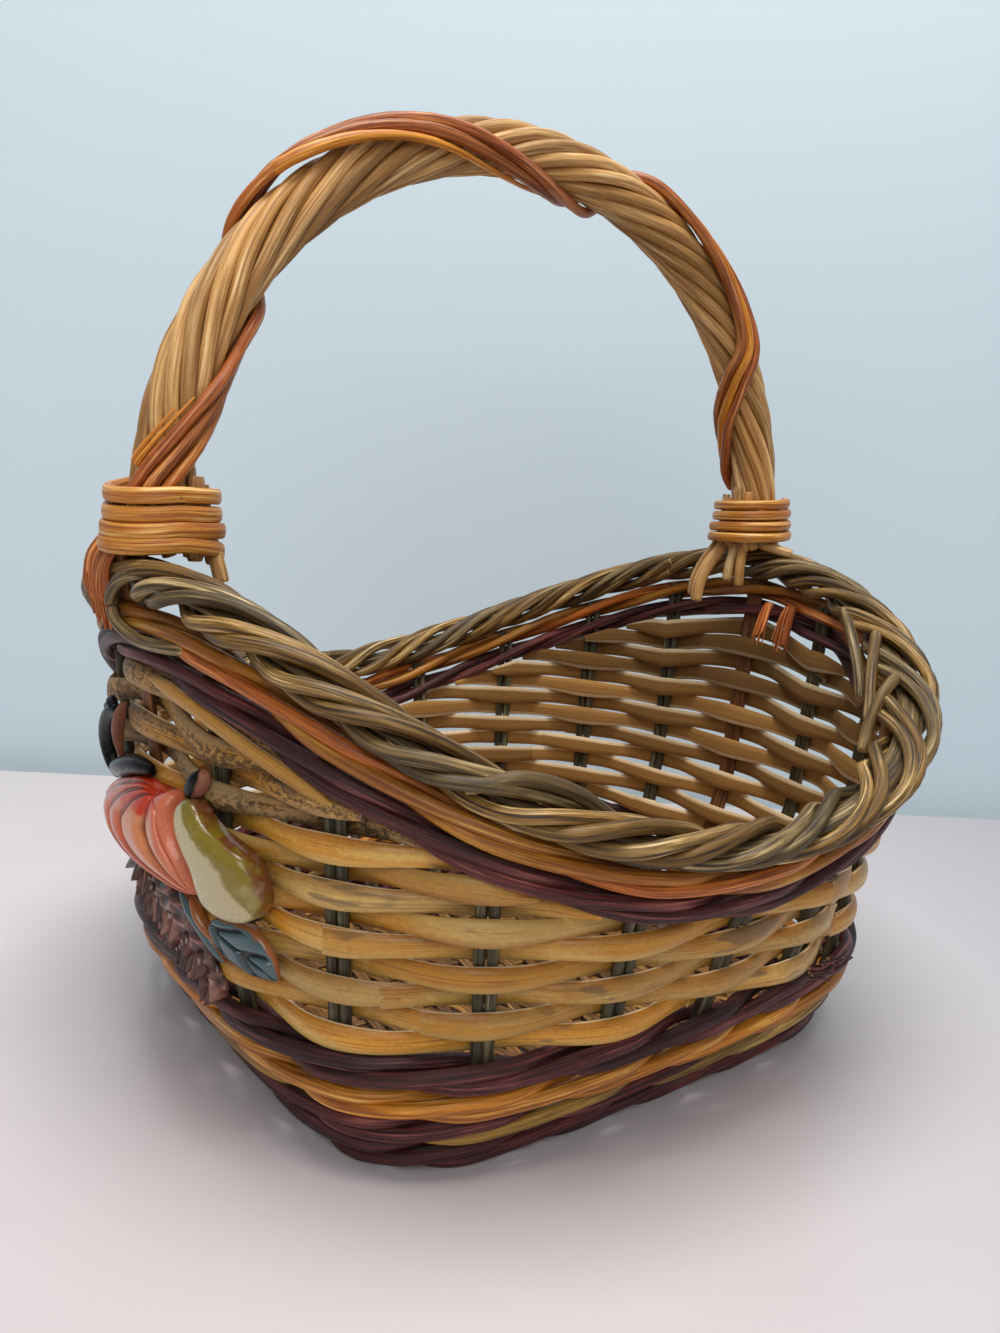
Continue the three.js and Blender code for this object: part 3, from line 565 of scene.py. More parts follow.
def glaze_paint(name, base, layers, gloss, coat=0.6, shine=0.35):
    """Painted and glazed ornament, whose grain runs from -1 to 1 across, from 0 to 1 down and to
    1 in hollows. Each layer is a direction, where along it the layer begins and is full, and its
    colour. Gloss is the roughness of the paint, shine how strongly it reflects and coat how
    strong the glaze over it is."""
    paint = Paint(name)
    grain = paint.attribute("grain")
    spot = paint.spot()
    clouds = paint.noise(spot, 130.0, detail=4)
    fine = paint.noise(spot, 900.0, detail=3)
    body = colour(*base)
    for axis, low, high, shade in layers:
        value = paint.times_plus(paint.part(grain, axis), 1 / MM, paint.wobble(clouds))
        body = paint.over(body, shade, value, low, high)
    body = paint.over(body, [value * 0.6 for value in base], fine, 0.55, 0.72, 0, 0.3)
    paler = [value + (255 - value) * 0.16 * value / 128 for value in base]
    body = paint.over(body, paler, clouds, 0.52, 0.7, 0, 0.25)
    paint.bump(paint.times_plus(fine, 0.35, clouds), 0.0005)
    return paint.finish(body, paint.ranged(clouds, 0.3, 0.7, gloss + 0.1, gloss), coat, 0.08, shine)


# Each: the rods' colour, that of some other rods, dark streaks and light streaks, which also serve as
# painted highlights. The numbers after them are the share of dark blotches, the roughness, the varnish and
# the depth of the grain
tuft_paint = rod_paint(
    "frayed_ends", (206, 118, 52), (178, 92, 38), (140, 70, 30), (240, 172, 100), 0.12, 0.6, 0.0)
stake_paint = rod_paint(
    "stake_bark", (116, 106, 78), (92, 86, 62), (46, 42, 30), (172, 160, 122), 0.35, 0.6, 0.1)
plum_paint = rod_paint(
    "plum_bark", (108, 46, 44), (86, 38, 46), (36, 14, 18), (176, 108, 96), 0.38, 0.5, 0.08, 0.0006)
olive_paint = rod_paint(
    "olive_bark", (178, 136, 56), (194, 142, 60), (96, 70, 26), (222, 190, 116), 0.3, 0.45)
orange_paint = rod_paint(
    "orange_bark", (222, 144, 34), (204, 134, 46), (142, 76, 16), (248, 198, 100), 0.3, 0.42)
rust_paint = rod_paint(
    "rust_bark", (206, 114, 38), (186, 98, 36), (116, 54, 18), (236, 168, 96), 0.25, 0.42)
winding_paint = rod_paint(
    "winding_bark", (180, 98, 42), (200, 124, 54), (112, 54, 22), (232, 172, 108), 0.25, 0.42)
border_paint = rod_paint(
    "border_bark", (140, 114, 68), (166, 120, 46), (44, 32, 20), (224, 202, 150), 0.42, 0.48, 0.12, 0.0003)
bow_paint = rod_paint(
    "bow_cane", (218, 172, 108), (208, 152, 80), (158, 110, 58), (248, 222, 170), 0.15, 0.5)
gold_paint = rod_paint(
    "gold_bark", (222, 146, 40), (182, 100, 42), (162, 90, 22), (250, 200, 112), 0.2, 0.38, 0.3)
cane_paint = rod_paint(
    "lashing_cane", (212, 146, 56), (206, 128, 42), (148, 78, 24), (255, 226, 156), 0.34, 0.4, 0.25, 0.0005)
liner_paint = rod_paint(
    "liner_cane", (140, 84, 38), (118, 70, 34), (70, 38, 18), (184, 126, 70), 0.3, 0.6, 0.05)
floor_paint = rod_paint(
    "floor_cane", (160, 110, 52), (116, 80, 44), (78, 50, 24), (200, 156, 92), 0.3, 0.6, 0.05)
# Each: bark face, cream places, dark streaks, light streaks, which also serve as painted highlights, and the
# sawn face inside. The numbers after them are how rough the bark is and how strong its varnish
strip_look = strip_paint(
    "split_cane", (216, 150, 38), (214, 174, 98), (150, 82, 12), (246, 208, 116), (188, 136, 72), 0.22, 0.35)
bark_look = strip_paint(
    "bark_cane", (212, 148, 54), (194, 158, 110), (44, 29, 18), (234, 184, 100), (172, 124, 66), 0.85, 0.1)


# Stakes and legs

STAKE_STEPS = 26
LEG_STEPS = 24


def upright_path(place, top, along):
    heights = np.linspace(STAKE_FOOT, top, STAKE_STEPS)
    lean = 0.25 * ripple(np.linspace(0, 1.4, STAKE_STEPS))
    return wall_point(place, heights, 0.0, along + lean)


def make_stakes():
    half_way = 2 * STAKE_ROD / stake_spacing
    for place in range(STAKES):
        if place % NEAR_END == 0:
            continue
        top = min(rim_height(place - half_way), rim_height(place + half_way)) - border_drop
        rods = [rod(upright_path(place, top, side * (STAKE_ROD + 0.05)), STAKE_ROD, 9,
                    upright=np.array([0.3, 0.2, 0.0]), taper=(1, 0.92)) for side in (-1, 1)]
        piece(f"stakes_{place:02d}", rods, stake_paint, [f"stake_pair_{place:02d}"], "stake_rod")


bow_foot = RIM_END_HEIGHT + border_drop
lashing_top = bow_foot + TOUCH_GAP + CANE_HEIGHT + CANE_TURNS * CANE_PITCH
# Heights above the foot of the bow at which a leg's stub has points, below its top
STUB_POINTS = (8.0, 16.0)


def flat_cane(half_width, half_thickness, sides=12):
    """Outline of a flat cane with rounded edges: across is its thickness and up its width."""
    across, up = circle(sides).T
    return np.stack([np.sign(across) * np.abs(across) ** 0.6 * half_thickness,
                     np.sign(up) * np.abs(up) ** 0.8 * half_width], -1)


def make_legs():
    step_foot = RIM_END_HEIGHT - border_drop - upper_half
    step_head = RIM_END_HEIGHT - BORDER_HALF_HEIGHT
    stub_heights = (*STUB_POINTS, lashing_top - bow_foot - LEG_STUB_DROP)
    for place, end in ((0, "far"), (NEAR_END, "near")):
        base = wall_point(place, np.linspace(STAKE_FOOT, step_foot, LEG_STEPS))
        gripped = wall_point(place, np.array([step_head, bow_foot]), LEG_STEP)
        stub = gripped[-1] + np.outer(stub_heights, UP)
        path = np.vstack([base, gripped, stub])
        cane = swept(path, flat_cane(LEG_DEPTH / 2, LEG_WIDTH / 2), upright=ALONG_X)
        piece(f"leg_{end}", [cane], liner_paint, [f"handle_leg_{end}"], "split_liner")


# Wales and border

# Gaps between the ends of rods, in places
RING_JOINT = 0.004
WALE_JOINT = 0.03


def ring_places(start):
    """Places once round the wall. The two ends of a rod meet just inside a stake."""
    return np.linspace(start + RING_JOINT, start + STAKES - RING_JOINT, STAKES * STEPS_PER_STAKE)


# The course of a wale goes three times round the wall, with one rod after another along it. It
# passes outside two stakes, climbing from the bottom of the wale to its top, and then inside one,
# on its way back down.
WALE_PERIOD = 3
WALE_COURSE = WALE_PERIOD * STAKES
# Knots of one period: how far along it, how far out and how high in the wale, from -1 to 1
WALE_KNOTS = (
    (0.0, -1, 0), (0.16, -0.92, -0.45), (0.5, 0, -1.04), (0.84, 0.92, -1.04), (1.0, 1, -1),
    (1.5, 1.06, 0), (2.0, 1, 1), (2.16, 0.92, 1.04), (2.5, 0, 1.04), (2.84, -0.92, 0.45), (3.0, -1, 0),
)
# Steps of a period, and how many of them its corners are rounded over on each side
WALE_STEPS = 180
WALE_EASE = 8
# How far the wale rods stand off the stakes
WALE_ROD_GAP = 0.4


def wale_turn(course):
    """How far out a wale rod runs and how high in the wale, from -1 to 1."""
    spots, outs, rises = np.array(WALE_KNOTS).T
    fine = np.linspace(0, WALE_PERIOD, WALE_STEPS + 1)
    soft = np.hanning(2 * WALE_EASE + 3)[1:-1]
    soft /= soft.sum()

    def eased(values):
        even = np.interp(fine[:-1], spots, values)
        ring = np.concatenate([even[-WALE_EASE:], even, even[:WALE_EASE]])
        smooth = np.convolve(ring, soft, "valid")
        return np.interp(course % WALE_PERIOD, fine, np.append(smooth, smooth[0]))
    return eased(outs), eased(rises)


def wale_rod(height_at, radius, start, first, last):
    """One rod of a wale, from the first to the last place of its course."""
    course = np.linspace(first + WALE_JOINT, last - WALE_JOINT, round((last - first) * STEPS_PER_STAKE))
    places = start + course
    turn_out, turn_up = wale_turn(course)
    swing = STAKE_DEPTH / 2 + WALE_ROD_GAP + radius
    height = height_at(places) + radius * 1.01 * turn_up
    path = wall_point(places, height, swing * turn_out + 0.15 * ripple(places))
    return rod(path, radius, 12, taper=(1.0, 0.93), knobs=0.035)


# How far the border rides up beside the near leg at the front, over how many places, and how much
# of that the two wales under it follow
NEAR_LIFT = 4.0
NEAR_LIFT_PLACES = 3.4
ORANGE_SHARE = 0.6
PLUM_SHARE = 0.25
# How many places a rod of the lower wales covers
LOWER_ROD_PLACES = 15


def near_lift(places):
    share = np.clip((places - NEAR_END) % STAKES / NEAR_LIFT_PLACES, 0, 1)
    return NEAR_LIFT * np.sin(math.pi * share ** 0.8) ** 2


def make_wale(name, height_at, radius, start, breaks, paints, slots):
    """Breaks are the places on the wale's course where one rod ends and the next begins. The
    first half of the rods stands for the frame's first rod, and the rest for its second."""
    rods = [wale_rod(height_at, radius, start, first, last)
            for first, last in zip(breaks[:-1], breaks[1:])]
    half = len(rods) // 2
    for index, parts in enumerate((rods[:half], rods[half:])):
        piece(f"{name}_{index + 1}", parts, paints[index], [f"{name}_rod_{index + 1}"], slots[index])


def make_wales():
    plum = (plum_paint, plum_paint), ("plum_rod", "plum_rod")
    lower = (
        ("foot_wale", 4, *plum),
        ("olive_wale", 14, (olive_paint, plum_paint), ("olive_rod", "plum_rod")),
        ("lower_orange_wale", 9, (orange_paint, orange_paint), ("orange_rod", "orange_rod")),
        ("lower_plum_wale", 2, *plum),
    )
    for row, (name, start, paints, slots) in enumerate(lower):
        middle = lower_pitch * (row + 0.5)
        make_wale(name, lambda places, z=middle: np.full(len(places), z), LOWER_ROD,
                  start, range(0, WALE_COURSE + 1, LOWER_ROD_PLACES), paints, slots)

    def below_rim(drop, share):
        return lambda places: rim_height(places) - drop + share * near_lift(places)

    make_wale("upper_plum_wale", below_rim(upper_plum_drop, PLUM_SHARE), UPPER_ROD,
              7, (0, 18, 30, 48, WALE_COURSE), *plum)
    make_wale("upper_orange_wale", below_rim(upper_orange_drop, ORANGE_SHARE), UPPER_ROD,
              8, (0, 21, 42, 48, WALE_COURSE), (orange_paint, rust_paint), ("orange_rod", "rust_rod"))


# Bark fibres that stand out of the lower plum wale at the far front corner: how many, where the
# first one and the next one begin, and their height
FRAYS = 16
FRAY_PLACE = 16.2
FRAY_STEP = 0.035
FRAY_HEIGHT = 44.0


def make_frays():
    frays = []
    for number in range(FRAYS):
        first = FRAY_PLACE + FRAY_STEP * number
        height = FRAY_HEIGHT + chance.uniform(-4, 4)
        knots = ((first, height, 5.5), (first + 0.14, height - 1, 7.5),
                 (first + 0.26, height - chance.uniform(-3, 4), chance.uniform(8, 10.5)))
        frays.append(rod(wall_curve(knots, 12), chance.uniform(0.4, 1.1), 6, taper=(1.0, 0.4)))
    piece("lower_plum_frays", frays, plum_paint, ["lower_plum_wale_rod_1"], "plum_rod")


# Where the border gives way to the tuft of fibres under the near lashing
TUFT_PLACE = 9.75
TUFT_HALF_WIDTH = 0.5
TUFT_ROOM = 3.2

# Ends of border rods that stand free inside the rim: place, height above it and distance out
BORDER_ENDS = (
    ((18.42, 1.5, -9.0), (18.1, -1.0, -12.0), (17.75, -7.0, -13.0), (17.55, -13.0, -12.5)),
    ((17.86, 5.0, -7.0), (17.6, 3.5, -11.0), (17.35, -1.0, -13.0), (17.1, -8.0, -12.5)),
    ((17.2, 6.5, -6.5), (17.05, 3.0, -11.0), (16.9, -4.0, -13.0), (16.75, -10.0, -12.5)),
)
# A border rod that arches above the rim at the front: place, height above it and distance out
BORDER_ARCH = (
    (12.86, 0.0, 6.0), (13.02, 5.0, 5.0), (13.15, 8.6, 3.0), (13.32, 9.6, -0.5), (13.5, 8.2, -3.5),
    (13.68, 4.5, -5.5), (13.85, 1.0, -6.0),
)
# The end of a border rod that hooks down beside the tuft and under the orange wale: place,
# height and distance out
HOOKED_END = (
    (10.45, 184, 3.0), (10.27, 182, 7.5), (10.12, 177.5, 9.2), (10.05, 171.5, 9.4),
    (10.14, 166, 9.2), (10.38, 162.8, 8.6), (10.62, 162.2, 7.4), (10.85, 162.6, 5.0),
)
HOOK_ROD = 2.1
FREE_END_ROD = 2.3
# Half width and half thickness of the flat core that closes the gaps between the strands. It has the darkest
# tone of the border, as painted shade in those gaps
BORDER_CORE = (4.6, 1.7)


def border_pair(strand, places):
    """Two rods side by side, twisted round the rim, that leave room for the tuft."""
    turn = math.pi * (places + 2 * strand / BORDER_STRANDS)
    flat = unit(np.stack([-BORDER_HALF_WIDTH * np.sin(turn), BORDER_HALF_HEIGHT * np.cos(turn)], -1))
    from_tuft = (places - TUFT_PLACE + NEAR_END) % STAKES - NEAR_END
    room = TUFT_ROOM * np.exp(-(from_tuft / TUFT_HALF_WIDTH) ** 2)
    rods = []
    for side in (-1, 1):
        shift = side * (BORDER_ROD + 0.1) + 0.5 * ripple(places * 0.8)
        out = (BORDER_HALF_WIDTH - BORDER_EASE) * np.cos(turn) + flat[:, 0] * shift
        out = np.where(out > 0, out - room * np.minimum(1, out / 5), out)
        height = rim_height(places) + near_lift(places)
        height += BORDER_HALF_HEIGHT * np.sin(turn) + flat[:, 1] * shift
        path = wall_point(places, height, out)
        tone = (0.5 + 0.38 * side, chance.random())
        rods.append(rod(path, BORDER_ROD * chance.uniform(0.94, 1.05), 14, tone=tone, knobs=0.07))
    return rods


def border_core(places):
    path = wall_point(places, rim_height(places) + near_lift(places))
    # The darkest tone: painted shade in the gaps between the strands
    return swept(path, circle(12), size=np.broadcast_to(BORDER_CORE, (len(places), 2)), tone=(0.0, 0.5))


def free_end(knots):
    place, above, out = smooth_path(knots, 24).T
    return rod(wall_point(place, rim_height(place) + above, out), FREE_END_ROD, 12)


def make_border():
    for strand in range(BORDER_STRANDS):
        places = ring_places(1 + 2 * strand)
        rods = border_pair(strand, places)
        if strand == 0:
            rods.append(border_core(places))
            rods.append(rod(wall_curve(HOOKED_END, 40), HOOK_ROD, 12, tone=(0.95, 0.3)))
        if strand == 1:
            rods += [free_end(knots) for knots in (*BORDER_ENDS, BORDER_ARCH)]
        piece(f"border_{strand + 1}", rods, border_paint, [f"border_strand_{strand + 1}"], "border_rod")


# Split strips

# Thickness of a strip's edges, as a share of its middle
STRIP_EDGE = 0.28


def half_round():
    """Outline of a split strip of unit size: flat inside, crowned outside."""
    up = np.cos(np.linspace(math.pi, 0, 9)) * 0.5
    crown = STRIP_EDGE - 0.5 + (1 - STRIP_EDGE) * np.sqrt(np.maximum(0, 1 - (2 * up) ** 2))
    outside = np.stack([crown, up], -1)
    inside = np.array([[-0.5, 0.46], [-0.5, 0.15], [-0.5, -0.15], [-0.5, -0.46]])
    return np.vstack([outside, inside])


def strip(path, heights, thickness=STRIP_THICKNESS, roll=None):
    """A split strip. Bare wood shows along its upper edge, where it was split."""
    profile = half_round()
    bare = (profile[:, 1] > 0.47) | ((profile[:, 1] > 0.4) & (profile[:, 0] < -0.4))
    size = np.stack([np.broadcast_to(thickness, heights.shape), heights], -1)
    return swept(path, profile, size=size, roll=roll, bare=bare)


def row_height(places, crossing):
    return crossing + (STRIP_HEIGHT - crossing) * np.cos(math.pi * places) ** 2


# Joints of a full row: how many, how far in places each end runs past one, how thin it gets
# there and how far in or out it is pushed
ROW_JOINTS = 4
ROW_LAP = 0.16
LAP_THINNESS = 0.35
LAP_PUSH = 0.9


def row_joints(row):
    """Places of a row's joints, which differ from row to row."""
    even = (np.arange(ROW_JOINTS) * STAKES / ROW_JOINTS).round() // 2 * 2
    return 1 + row % 2 + even + 0.37 * (row * 2 % 5)


def make_full_rows():
    crossing = full_pitch - TOUCH_GAP
    for row in range(FULL_ROWS):
        middle = lower_top + (row + 0.5) * full_pitch
        lengths = []
        starts = row_joints(row)
        for start, end in zip(starts, np.append(starts[1:], starts[0] + STAKES)):
            places = np.arange(start - ROW_LAP, end + ROW_LAP, 1 / STEPS_PER_STAKE)
            into = np.clip((places - start + ROW_LAP) / (2 * ROW_LAP), 0, 1)
            gone = np.clip((end + ROW_LAP - places) / (2 * ROW_LAP), 0, 1)
            thick = STRIP_THICKNESS * (LAP_THINNESS + (1 - LAP_THINNESS) * np.minimum(into, gone))
            push = LAP_PUSH * (1 - into) - LAP_PUSH * (1 - gone)
            out = strip_swing * np.cos(math.pi * (places + row)) + push
            height = middle + 0.3 * ripple(places)
            wide = row_height(places, crossing) * (0.96 + 0.05 * ripple(places * 0.7))
            lengths.append(strip(wall_point(places, height, out), wide, thick))
        piece(f"split_row_{row + 1}", lengths, strip_look, [f"woven_strip_{row + 1}"], "split_strip")


def ceiling_at(place):
    return rim_height(place) - row_ceiling_drop


# The packing rows turn back on the side of lower places
TURN_SIDE = -1
# How far a trimmed row tucks up under the wale, and the least height it is trimmed to
UNDER_WALE = 1.2
LEAST_STRIP = 2.0
# Laps over the turns: how far before its stake a lap starts, how much sooner the upper one does,
# how far beyond the swing of the row it stands there, over how many places that is eased off, and
# of how many points a lap has to be
LAP_START = 0.3
LAP_SOONER = 0.15
LAP_BEYOND = 0.35
LAP_EASE = 0.8
LEAST_LAP_STEPS = 8
STAKE_PAIR_WIDTH = 2 * STAKE_DEPTH + 0.2
turn_centre = (STAKE_PAIR_WIDTH - STAKE_DEPTH) / 2
turn_reach = turn_centre + strip_swing + CAD_STRIP_THICKNESS / 2


def packing_room(end_place, apart):
    """Room for the packing rows at a distance from an end and what a turn there takes up."""
    reach = np.abs(apart) + turn_reach / stake_spacing
    return np.minimum(ceiling_at(end_place + reach), ceiling_at(end_place - reach)) - full_top


def packing_pitch(end_place):
    return float(packing_room(end_place, 1)) / (2 * PACKING_PAIRS)


def packing_row(end_place, index):
    """Number of a packing row, counted with the full rows, and the height of its middle."""
    return FULL_ROWS + index, full_top + (index + 0.5) * packing_pitch(end_place)


def trimmed(end_place, places, middle, crossing):
    """Middle and height of a row. Over the leg it spreads to fill the rise of the rim, and its
    top is trimmed along the underside of the wale."""
    room = packing_room(end_place, places - end_place)
    spread = np.maximum(1, room / packing_room(end_place, 1))
    middle = full_top + (middle - full_top) * spread
    height = row_height(places, (crossing + TOUCH_GAP) * spread - TOUCH_GAP)
    bottom = middle - height / 2
    top = np.minimum(middle + height / 2, ceiling_at(places) + UNDER_WALE)
    top = np.maximum(top, bottom + LEAST_STRIP)
    return (bottom + top) / 2, top - bottom


def cut_distance(end_place, middle, crossing, side=1):
    """How far from an end, in places, a row runs on before the wale leaves it too thin. Side is
    1 on the side of the cut ends and -1 on the side of the turns."""
    reach = np.arange(0, 6, 0.02)
    left = ceiling_at(end_place - side * TURN_SIDE * reach) + UNDER_WALE - (middle - crossing / 2)
    return reach[np.argmax(left < LEAST_STRIP)]


def last_turn(end_place, middle):
    """The last stake that a row can turn round before the wale comes down to its middle."""
    stake = 1
    while ceiling_at(end_place + TURN_SIDE * (stake + 1 + turn_reach / stake_spacing)) > middle:
        stake += 1
    return stake


def packing_run(end_place, run, row, middle, stand_off=1.0):
    """A stretch of a packing row, at distances from its end: its path and its heights."""
    places = end_place + TURN_SIDE * run
    middles, heights = trimmed(end_place, places, middle, packing_pitch(end_place) - TOUCH_GAP)
    out = stand_off * strip_swing * np.cos(math.pi * (places + row))
    return wall_point(places, middles, out), heights


def packing_strip(end_place, pair):
    lower_row, lower_middle = packing_row(end_place, 2 * pair)
    upper_row, upper_middle = packing_row(end_place, 2 * pair + 1)
    pitch = packing_pitch(end_place)
    crossing = pitch - TOUCH_GAP
    stake = last_turn(end_place, lower_middle)
    turn_place = end_place + TURN_SIDE * stake
    step = 1 / STEPS_PER_STAKE

    out_run = np.arange(-cut_distance(end_place, lower_middle, crossing), stake, step)
    run, heights = packing_run(end_place, out_run, lower_row, lower_middle)

    turn = np.linspace(0, math.pi, 12)
    start_side = math.cos(math.pi * (turn_place + lower_row))
    turn_along = TURN_SIDE * (turn_centre + strip_swing * np.sin(turn))
    turn_spot = turn_place + turn_along / stake_spacing
    turn_middle = lower_middle + turn / math.pi * pitch
    turn_middles, turn_heights = trimmed(end_place, turn_spot, turn_middle, crossing)
    turn_heights = np.minimum(turn_heights, crossing)
    bend = wall_point(turn_place, turn_middles, start_side * strip_swing * np.cos(turn), turn_along)

    back_run = np.arange(stake - step, -cut_distance(end_place, upper_middle, crossing), -step)
    back, back_heights = packing_run(end_place, back_run, upper_row, upper_middle)

    # The run out to the turn is rolled over, so that the bark faces out on both runs
    first = np.vstack([run, bend])
    second = np.vstack([bend[-3:], back])
    return [strip(first, np.concatenate([heights, turn_heights]), roll=np.full(len(first), math.pi)),
            strip(second, np.concatenate([turn_heights[-3:], back_heights]), STRIP_THICKNESS * 0.94)]


def packing_lap(end_place, pair, upper):
    """A short length laid over a packing strip at its turn. It carries the row on until it runs
    out under the wale."""
    row, middle = packing_row(end_place, 2 * pair + upper)
    crossing = packing_pitch(end_place) - TOUCH_GAP
    lower_middle = packing_row(end_place, 2 * pair)[1]
    first = last_turn(end_place, lower_middle) - LAP_START - LAP_SOONER * upper
    reach = np.arange(first, cut_distance(end_place, middle, crossing, -1), 1 / STEPS_PER_STAKE)
    if len(reach) < LEAST_LAP_STEPS:
        return []
    stand_off = 1 + LAP_BEYOND - LAP_BEYOND * np.clip((reach - first) / LAP_EASE, 0, 1)
    path, heights = packing_run(end_place, reach, row, middle, stand_off)
    return [strip(path, heights, STRIP_THICKNESS * 0.7, np.full(len(path), math.pi))]


# A golden length laid along the underside of the wale beside the near leg: its first and last
# place, how far below the wale it lies, its height, and how far it stands out beyond the rows and
# tucks back in at its end
GOLD_PLACES = (10.42, 12.05)
GOLD_BELOW = 1.2
GOLD_HEIGHT = 5.0
GOLD_BEYOND = 2.2
GOLD_TUCK = 1.5


def gold_length():
    share = np.linspace(0, 1, 40)
    places = np.linspace(*GOLD_PLACES, len(share))
    ends = np.minimum(1, 6 * np.minimum(share, 1 - share) + 0.3)
    heights = ceiling_at(places) - GOLD_BELOW
    out = strip_swing + GOLD_BEYOND - GOLD_TUCK * share ** 4
    return strip(wall_point(places, heights, out), GOLD_HEIGHT * ends, STRIP_THICKNESS * 0.7)


def make_packing():
    piece("packing_near_gold", [gold_length()], strip_look, ["packing_strip_near_4"], "split_strip")
    for end, end_place in (("near", NEAR_END), ("far", 0)):
        for pair in range(PACKING_PAIRS):
            is_bark = pair >= PACKING_PAIRS / 2
            paint = bark_look if is_bark else strip_look
            slot = "bark_strip" if is_bark else "split_strip"
            strips = packing_strip(end_place, pair)
            strips += packing_lap(end_place, pair, 0) + packing_lap(end_place, pair, 1)
            piece(f"packing_{end}_{pair + 1}", strips, paint,
                  [f"packing_strip_{end}_{pair + 1}"], slot)


# Floor

FLOOR_MIDDLE = 6.0
FLOOR_STICK_PITCH = 13.0
FLOOR_STICK_WIDTH = 3.2
FLOOR_STICK_THICKNESS = 1.2
FLOOR_CANE_WIDTH = 5.0
FLOOR_CANE_THICKNESS = 1.1
FLOOR_LIFT = 1.1
# The canes reach this far under the foot wale
FLOOR_TUCK = 0.8
FLOOR_EDGE_STEPS = 240
STICK_POINTS = 24
FLOOR_CANE_POINTS = 100


def half_chord(edge, value, axis):
    """Half length of the floor along the other axis at a distance from its middle line."""
    side = edge[edge[:, 1 - axis] > 0]
    order = np.argsort(side[:, axis])
    return float(np.interp(value, side[order, axis], side[order, 1 - axis]))


def floor_sticks(edge):
    """Flat sticks along X."""
    profile = flat_cane(FLOOR_STICK_WIDTH / 2, FLOOR_STICK_THICKNESS / 2, 8)[:, ::-1]
    half_count = math.floor(edge[:, 1].max() / FLOOR_STICK_PITCH)
    for number in range(-half_count, half_count + 1):
        y = number * FLOOR_STICK_PITCH
        x = np.linspace(-1, 1, STICK_POINTS) * half_chord(edge, y, 1)
        yield swept(np.stack(np.broadcast_arrays(x, y, FLOOR_MIDDLE), -1), profile)


def floor_canes(edge):
    """Flat canes along Y that pass over and under the sticks."""
    half_length = edge[:, 0].max()
    half_count = round(half_length / FLOOR_CANE_WIDTH - 0.5)
    pitch = half_length / (half_count + 0.5)
    profile = flat_cane(pitch / 2, FLOOR_CANE_THICKNESS / 2, 8)[:, ::-1]
    for number in range(-half_count, half_count + 1):
        x = number * pitch
        y = np.linspace(-1, 1, FLOOR_CANE_POINTS) * half_chord(edge, x, 0)
        lift = FLOOR_LIFT * np.cos(math.pi * (y / FLOOR_STICK_PITCH + number))
        yield swept(np.stack(np.broadcast_arrays(x, y, FLOOR_MIDDLE + lift), -1), profile)


def make_floor():
    inset = lower_swing + lower_half + TOUCH_GAP
    places = np.linspace(0, STAKES, FLOOR_EDGE_STEPS + 1)
    edge = wall_point(places, FLOOR_MIDDLE, FLOOR_TUCK - inset)
    rods = [*floor_sticks(edge), *floor_canes(edge)]
    piece("floor_weave", rods, floor_paint, ["woven_floor"], "floor_cane")


# Bow handle

leg_inside = float(wall_point(0, bow_foot, LEG_STEP - LEG_DEPTH / 2)[0])
bow_half_span = leg_inside - TOUCH_GAP - BOW_FOOT_OUTSIDE


def bow_route():
    """Points along the middle line of the bow, from its -X foot to its +X foot."""
    angles = np.linspace(math.pi, 0, ARCH_STEPS)
    arch = np.stack([bow_half_span * np.cos(angles), BOW_SPRING + BOW_RISE * np.sin(angles)], -1)
    return np.vstack([[-bow_half_span, bow_foot], arch, [bow_half_span, bow_foot]])


route = bow_route()
route_walked = walked_along(route)
bow_length = route_walked[-1]


# Half the stretch of the bow that its direction at a point is taken from
BOW_STRETCH = 1.5


def beside_bow(distance, outwards, frontwards):
    """Points beside the bow: outwards from the arch and frontwards to -Y."""
    def at(value):
        return np.stack([np.interp(value, route_walked, route[:, k]) for k in (0, 1)], -1)
    here = at(distance)
    after = at(np.minimum(distance + BOW_STRETCH, bow_length))
    tangent = unit(after - at(np.maximum(distance - BOW_STRETCH, 0)))
    x = here[:, 0] - tangent[:, 1] * outwards
    z = here[:, 1] + tangent[:, 0] * outwards
    return np.stack([x, -np.broadcast_to(frontwards, x.shape), z], -1)


def bow_spread(distance):
    """1 where the lashing grips the foot of the bow, falling to 0 below the lashing's top."""
    from_foot = np.minimum(distance, bow_length - distance)
    grip = lashing_top - bow_foot - BOW_GRIP_DEPTH
    share = np.clip(1 - (from_foot - grip) / BOW_FOOT_TAPER, 0, 1)
    return share * share * (3 - 2 * share)


def ring_rod(angle, distance, radius, ring):
    """Path of a rod at an angle round the bundle, which opens into an oval at the feet."""
    spread = bow_spread(distance)
    foot = np.where(np.cos(angle) > 0, BOW_FOOT_OUTSIDE, BOW_FOOT_INSIDE) - radius
    half_x = ring + (foot - ring) * spread
    half_y = ring + (BOW_FOOT_HALF_Y - radius - ring) * spread
    return beside_bow(distance, half_x * np.cos(angle), half_y * np.sin(angle))


